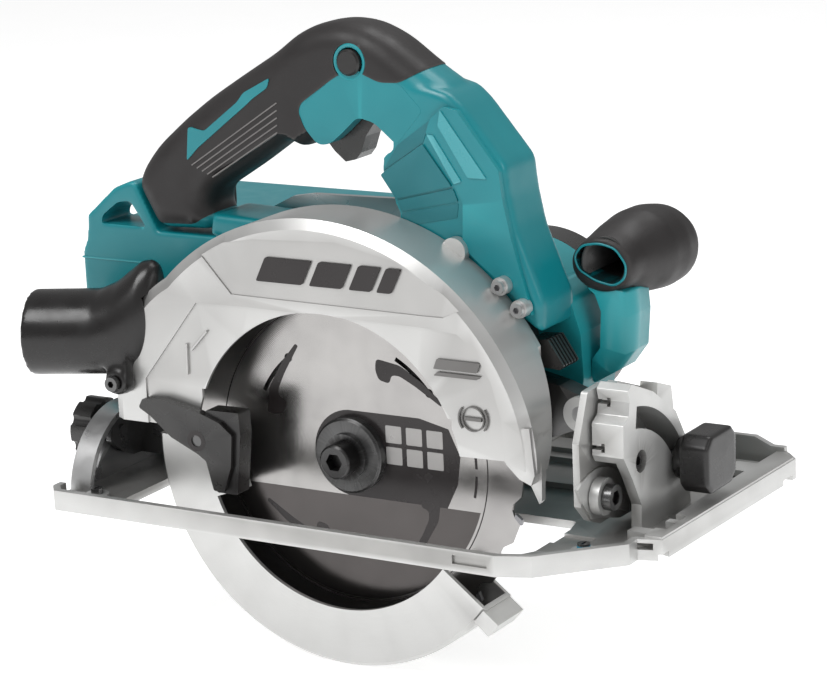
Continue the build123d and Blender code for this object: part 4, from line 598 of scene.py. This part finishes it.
def build_front_grip():
    """Moulded bulb with a slanted, lined mouth."""
    sections = ((46.5, 112.5, 120.5, 15.4, 12.4), (50, 112.5, 120.5, 16.6, 13.6),
                (57, 113.0, 121.0, 17.2, 14.6),
                (67, 114.0, 121.2, 19.0, 17.4), (79, 115.5, 121.2, 21.0, 20.2), (90, 116.5, 120.8, 21.6,
                                                                                 20.8),
                (100, 117.0, 120.2, 20.2, 19.6), (108, 117.0, 119.6, 16.4, 16.2), (113, 117.0, 119.5, 10.8,
                                                                                   10.8),
                (115.2, 117.0, 119.5, 4.0, 4.4))
    rings = []
    for y, x, z, half_x, half_z in sections:
        ring = []
        for i in range(40):
            angle = 2 * math.pi * i / 40
            ring.append(Vector((x + half_x * math.cos(angle), y, z + half_z * math.sin(angle))))
        rings.append(ring)
    bm = bmesh.new()
    add_rings(bm, rings)
    skin = remeshed("bulb", bm, 1.3, 4)
    hollow = bmesh.new()
    mouth = [(99, 124), (103, 129), (112, 130.6), (120, 128.8), (125.4, 121.6), (124.4, 115.4), (119, 111.8),
             (110, 113.4), (101, 118)]
    add_prism(hollow, rounded(mouth, 3, 4), 40, 104)
    skin = carved(skin, hollow, False)
    bulb = stand_mesh("front_grip_bulb", skin, RUBBER, "saw_body", smooth=50)
    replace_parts(bulb, "front_grip_rubber")
    rim = rounded([(98.0, 124), (102.4, 130), (112, 131.7), (120.6, 129.6), (126.5, 121.8), (125.4, 114.8),
                   (119.4, 110.7), (109.6, 112.4), (100.2, 117.4)], 3, 4)
    prism("front_grip_liner", rim, 45.9, 60, TEAL, "saw_body", holes=(rounded(mouth, 3, 4),), bevel=0.4)
    # the bracket below the bulb is teal, the bar inside it black
    bracket = bmesh.new()
    from_node(bracket, "front_grip_core")
    whole = bpy.data.meshes.new("front_grip_whole")
    bracket.to_mesh(whole)
    bracket.free()
    split = bmesh.new()
    add_prism(split, [(60, 50), (140, 50), (140, 109), (60, 109)], 40, 120)
    leg = stand_mesh("front_grip_leg", carved(whole.copy(), split, True), TEAL, "saw_body")
    split = bmesh.new()
    add_prism(split, [(60, 50), (140, 50), (140, 109), (60, 109)], 40, 120)
    bar = stand_mesh("front_grip_bar", carved(whole, split, False), BLACK, "saw_body")
    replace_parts(leg, "front_grip_core")


# ---- blade case ---------------------------------------------------------------------------
ICON_CENTRE = (82, 61.5)            # round sign of the case, in millimetres


def build_case_marks():
    """Blank graphics and the moulded arrow of the case's right face."""
    face = -25.0
    for number, (left, width) in enumerate(((-34, 26), (-4, 18), (18, 12), (33, 8))):
        bar = [(left, 117), (left + width, 117), (left + width + 6, 129), (left + 6, 129)]
        prism(f"case_stripe_{number}", rounded(bar, 1.2, 3), face - 0.55, face + 1, PRINT, "saw_body",
              bevel=0.15)
    for number, (start, end) in enumerate((((-77.5, 66.5), (-77.0, 82)), ((-74.4, 79), (-64.5, 89.5)))):
        along = Vector(end) - Vector(start)
        side = along.normalized().orthogonal() * 0.6
        bar = [tuple(Vector(start) - side), tuple(Vector(end) - side), tuple(Vector(end) + side),
               tuple(Vector(start) + side)]
        prism(f"case_arrow_{number}", bar, face - 0.6, face + 1, SILVER, "saw_body", bevel=0.25)
    for number, (low, high) in enumerate(((83.6, 88.4), (80.4, 82.2))):
        bar = [(62, low), (85, low), (87, high), (64, high)]
        prism(f"case_bar_{number}", rounded(bar, 0.5, 3), face - 0.4, face + 1, GREY_PRINT, "saw_body",
              bevel=0.1)
    prism("case_icon_ring", circle(ICON_CENTRE, 6.0, 40), face - 0.4, face + 1, GREY_PRINT, "saw_body",
          holes=(circle(ICON_CENTRE, 5.4, 40),), bevel=0)
    for number, first in enumerate((-40, 140)):
        outer = circle(ICON_CENTRE, 7.9, 16, first, first + 80)
        inner = circle(ICON_CENTRE, 7.1, 16, first + 80, first)
        prism(f"case_icon_arc_{number}", outer + inner, face - 0.4, face + 1, GREY_PRINT, "saw_body", bevel=0)
    prism("case_icon_bar", [(77.5, 60.7), (86.5, 60.7), (86.5, 62.3), (77.5, 62.3)], face - 0.4, face + 1,
          GREY_PRINT, "saw_body", bevel=0)


def build_small_parts():
    """Front knob skin, painted shade of the lever screw recess, thread lock patch and quadrant adjuster."""
    melted_node("front_knob_skin", "front_bevel_knob", BLACK, 0.9, 9, "front_knob")
    # painted shade: a flat dark ring stands for the shade in the recess round the screw in the guard lever
    prism("lever_screw_recess_painted_shade", circle((-71, 35), 5.2, 32), -30.28, -29.6, PRINT, "guard",
          holes=(circle((-71, 35), 2.9, 32),), bevel=0)
    # blue thread lock on the front guide screw, and the adjusting screw sunk in the quadrant
    turned("set_screw_patch", (138, -26, 6.6), (0, 0, 1), [(0, 3.12), (2.2, 3.12)], BLUE, "base", 28)
    turned("quadrant_adjuster", (144.2, 13.5, 38.5), (1, 0, 0),
           [(0, 4.4), (1.8, 4.4), (2.2, 3.9), (2.2, 2.2), (0.8, 2.0)],
           DARK_STEEL, "base", 28)


# ---- blade ----------------------------------------------------------------------------------
BLADE_FACE = -0.70


def decal(name, outline, material, lift=0.03, holes=()):
    """A thin print on the blade's right face."""
    prism(name, outline, BLADE_FACE - lift, BLADE_FACE + 0.2, material, "blade", holes=holes, bevel=0)


def turn_about_arbor(points, angle):
    """Turns a list of points about the blade's axis, in degrees."""
    turn = math.radians(angle)
    result = []
    for u, v in points:
        rise = v - ARBOR[1]
        result.append((u * math.cos(turn) - rise * math.sin(turn),
                       ARBOR[1] + u * math.sin(turn) + rise * math.cos(turn)))
    return result


def build_blade_print():
    """Slot marks, label, blank squares, lower field, circle and dashes of the blade."""
    slot = [(-30.2, 80.6), (-38.6, 70.5), (-46.5, 57.6), (-48.6, 44.5), (-43, 43.8), (-38.2, 45.6),
            (-37.0, 51.6),
            (-41.2, 52.6), (-41.4, 57), (-37.0, 65.8), (-28.6, 79.6)]
    for number in range(4):
        shape = turn_about_arbor(rounded(slot, 2.0, 4), -90.0 * number)
        decal(f"blade_slot_{number}", shape, PRINT, 0.09)
    # rounded label from the flange to the guard, with six blank squares
    label = circle(ARBOR, 21.6, 24, 95, 260) + [(-5, 7), (28, 5), (50, 4), (58, 20), (60, 34), (54, 47),
                                                (38, 50.6)]
    decal("blade_label", label, PRINT, 0.03)
    for row in range(2):
        for column in range(3):
            left = 19.0 + column * 11.4
            low = 36.6 - row * 10.6
            square = [(left, low), (left + 8.8, low), (left + 8.8, low + 8.6), (left, low + 8.6)]
            decal(f"blade_square_{row}_{column}", rounded(square, 0.6, 2), PALE_PRINT, 0.07)
    # dark lower field, cut off by a chord
    lower = circle(ARBOR, 73.0, 64, 197, 343)
    decal("blade_lower_field", lower, SMOKE_PRINT, 0.05)
    decal("blade_thin_circle", circle(ARBOR, 74.9, 96), PRINT, 0.03, holes=(circle(ARBOR, 74.3, 96),))
    for dash in range(30):
        first = dash * 12.0
        arc = circle(ARBOR, 69.2, 4, first, first + 9) + circle(ARBOR, 67.8, 4, first + 9, first)
        if first >= 345 or first <= 60:
            decal(f"blade_dash_{dash}", arc, PRINT, 0.03)


def build_details():
    build_handle()
    build_post_facets()
    build_rear()
    build_nozzle()
    build_front_grip()
    build_case_marks()
    build_small_parts()
    build_blade_print()


build_details()


# ---- stage --------------------------------------------------------------------------------
def stand_camera():
    """The photograph's viewpoint: above the front right corner, with a long lens."""
    azimuth = math.radians(31.67)
    elevation = math.radians(14.45)
    roll = math.radians(-2.58)
    right = Vector((math.cos(azimuth), math.sin(azimuth), 0))
    back = Vector((math.sin(azimuth) * math.cos(elevation), -math.cos(azimuth) * math.cos(elevation),
                   math.sin(elevation)))
    up = back.cross(right)
    turned_right = right * math.cos(roll) + up * math.sin(roll)
    turned_up = up * math.cos(roll) - right * math.sin(roll)
    camera_data = bpy.data.cameras.new("camera")
    camera_data.sensor_width = 36.0
    camera_data.lens = 3.58 * 36.0
    camera_data.clip_start = 0.05
    camera = bpy.data.objects.new("camera", camera_data)
    bpy.context.scene.collection.objects.link(camera)
    turn = Matrix((turned_right, turned_up, back)).transposed().to_4x4()
    camera.matrix_world = Matrix.Translation((0.7443, -1.1473, 0.4360)) @ turn
    bpy.context.scene.camera = camera


def soft_light(name, where, target, size, power):
    """A large square lamp aimed at a point."""
    lamp_data = bpy.data.lights.new(name, "AREA")
    lamp_data.size = size
    lamp_data.energy = power
    lamp = bpy.data.objects.new(name, lamp_data)
    bpy.context.scene.collection.objects.link(lamp)
    lamp.location = where
    lamp.rotation_euler = (Vector(target) - Vector(where)).to_track_quat("-Z", "Y").to_euler()


def stand_stage():
    floor_mesh = bpy.data.meshes.new("floor")
    reach = 14.0
    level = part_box("lower_guard")[0][2] - 0.0005
    floor_mesh.from_pydata([(-reach, -reach, level), (reach, -reach, level), (reach, reach, level),
                            (-reach, reach, level)], [], [(0, 1, 2, 3)])
    floor = bpy.data.objects.new("floor", floor_mesh)
    paper = surface("floor_paper", (0.93, 0.93, 0.93), (0.91, 0.91, 0.91), (0.6, 0.8), bump=0.02)
    paper_shader = paper.node_tree.nodes["Principled BSDF"]
    paper_shader.inputs["Emission Color"].default_value = (1.0, 1.0, 1.0, 1.0)
    paper_shader.inputs["Emission Strength"].default_value = 0.55
    floor_mesh.materials.append(paper)
    bpy.context.scene.collection.objects.link(floor)
    world = bpy.data.worlds.new("studio")
    world.use_nodes = True
    world.node_tree.nodes["Background"].inputs["Color"].default_value = (1.0, 1.0, 1.0, 1.0)
    world.node_tree.nodes["Background"].inputs["Strength"].default_value = 0.36
    bpy.context.scene.world = world
    target = (0.0, 0.0, 0.08)
    soft_light("key", (-0.5, -1.2, 1.6), target, 0.9, 19.0)
    soft_light("fill", (1.5, -0.3, 0.9), target, 0.7, 3.2)
    soft_light("top", (0.1, 0.5, 1.6), target, 1.0, 10.0)
    bpy.context.scene.view_settings.view_transform = "Standard"


stand_camera()
stand_stage()
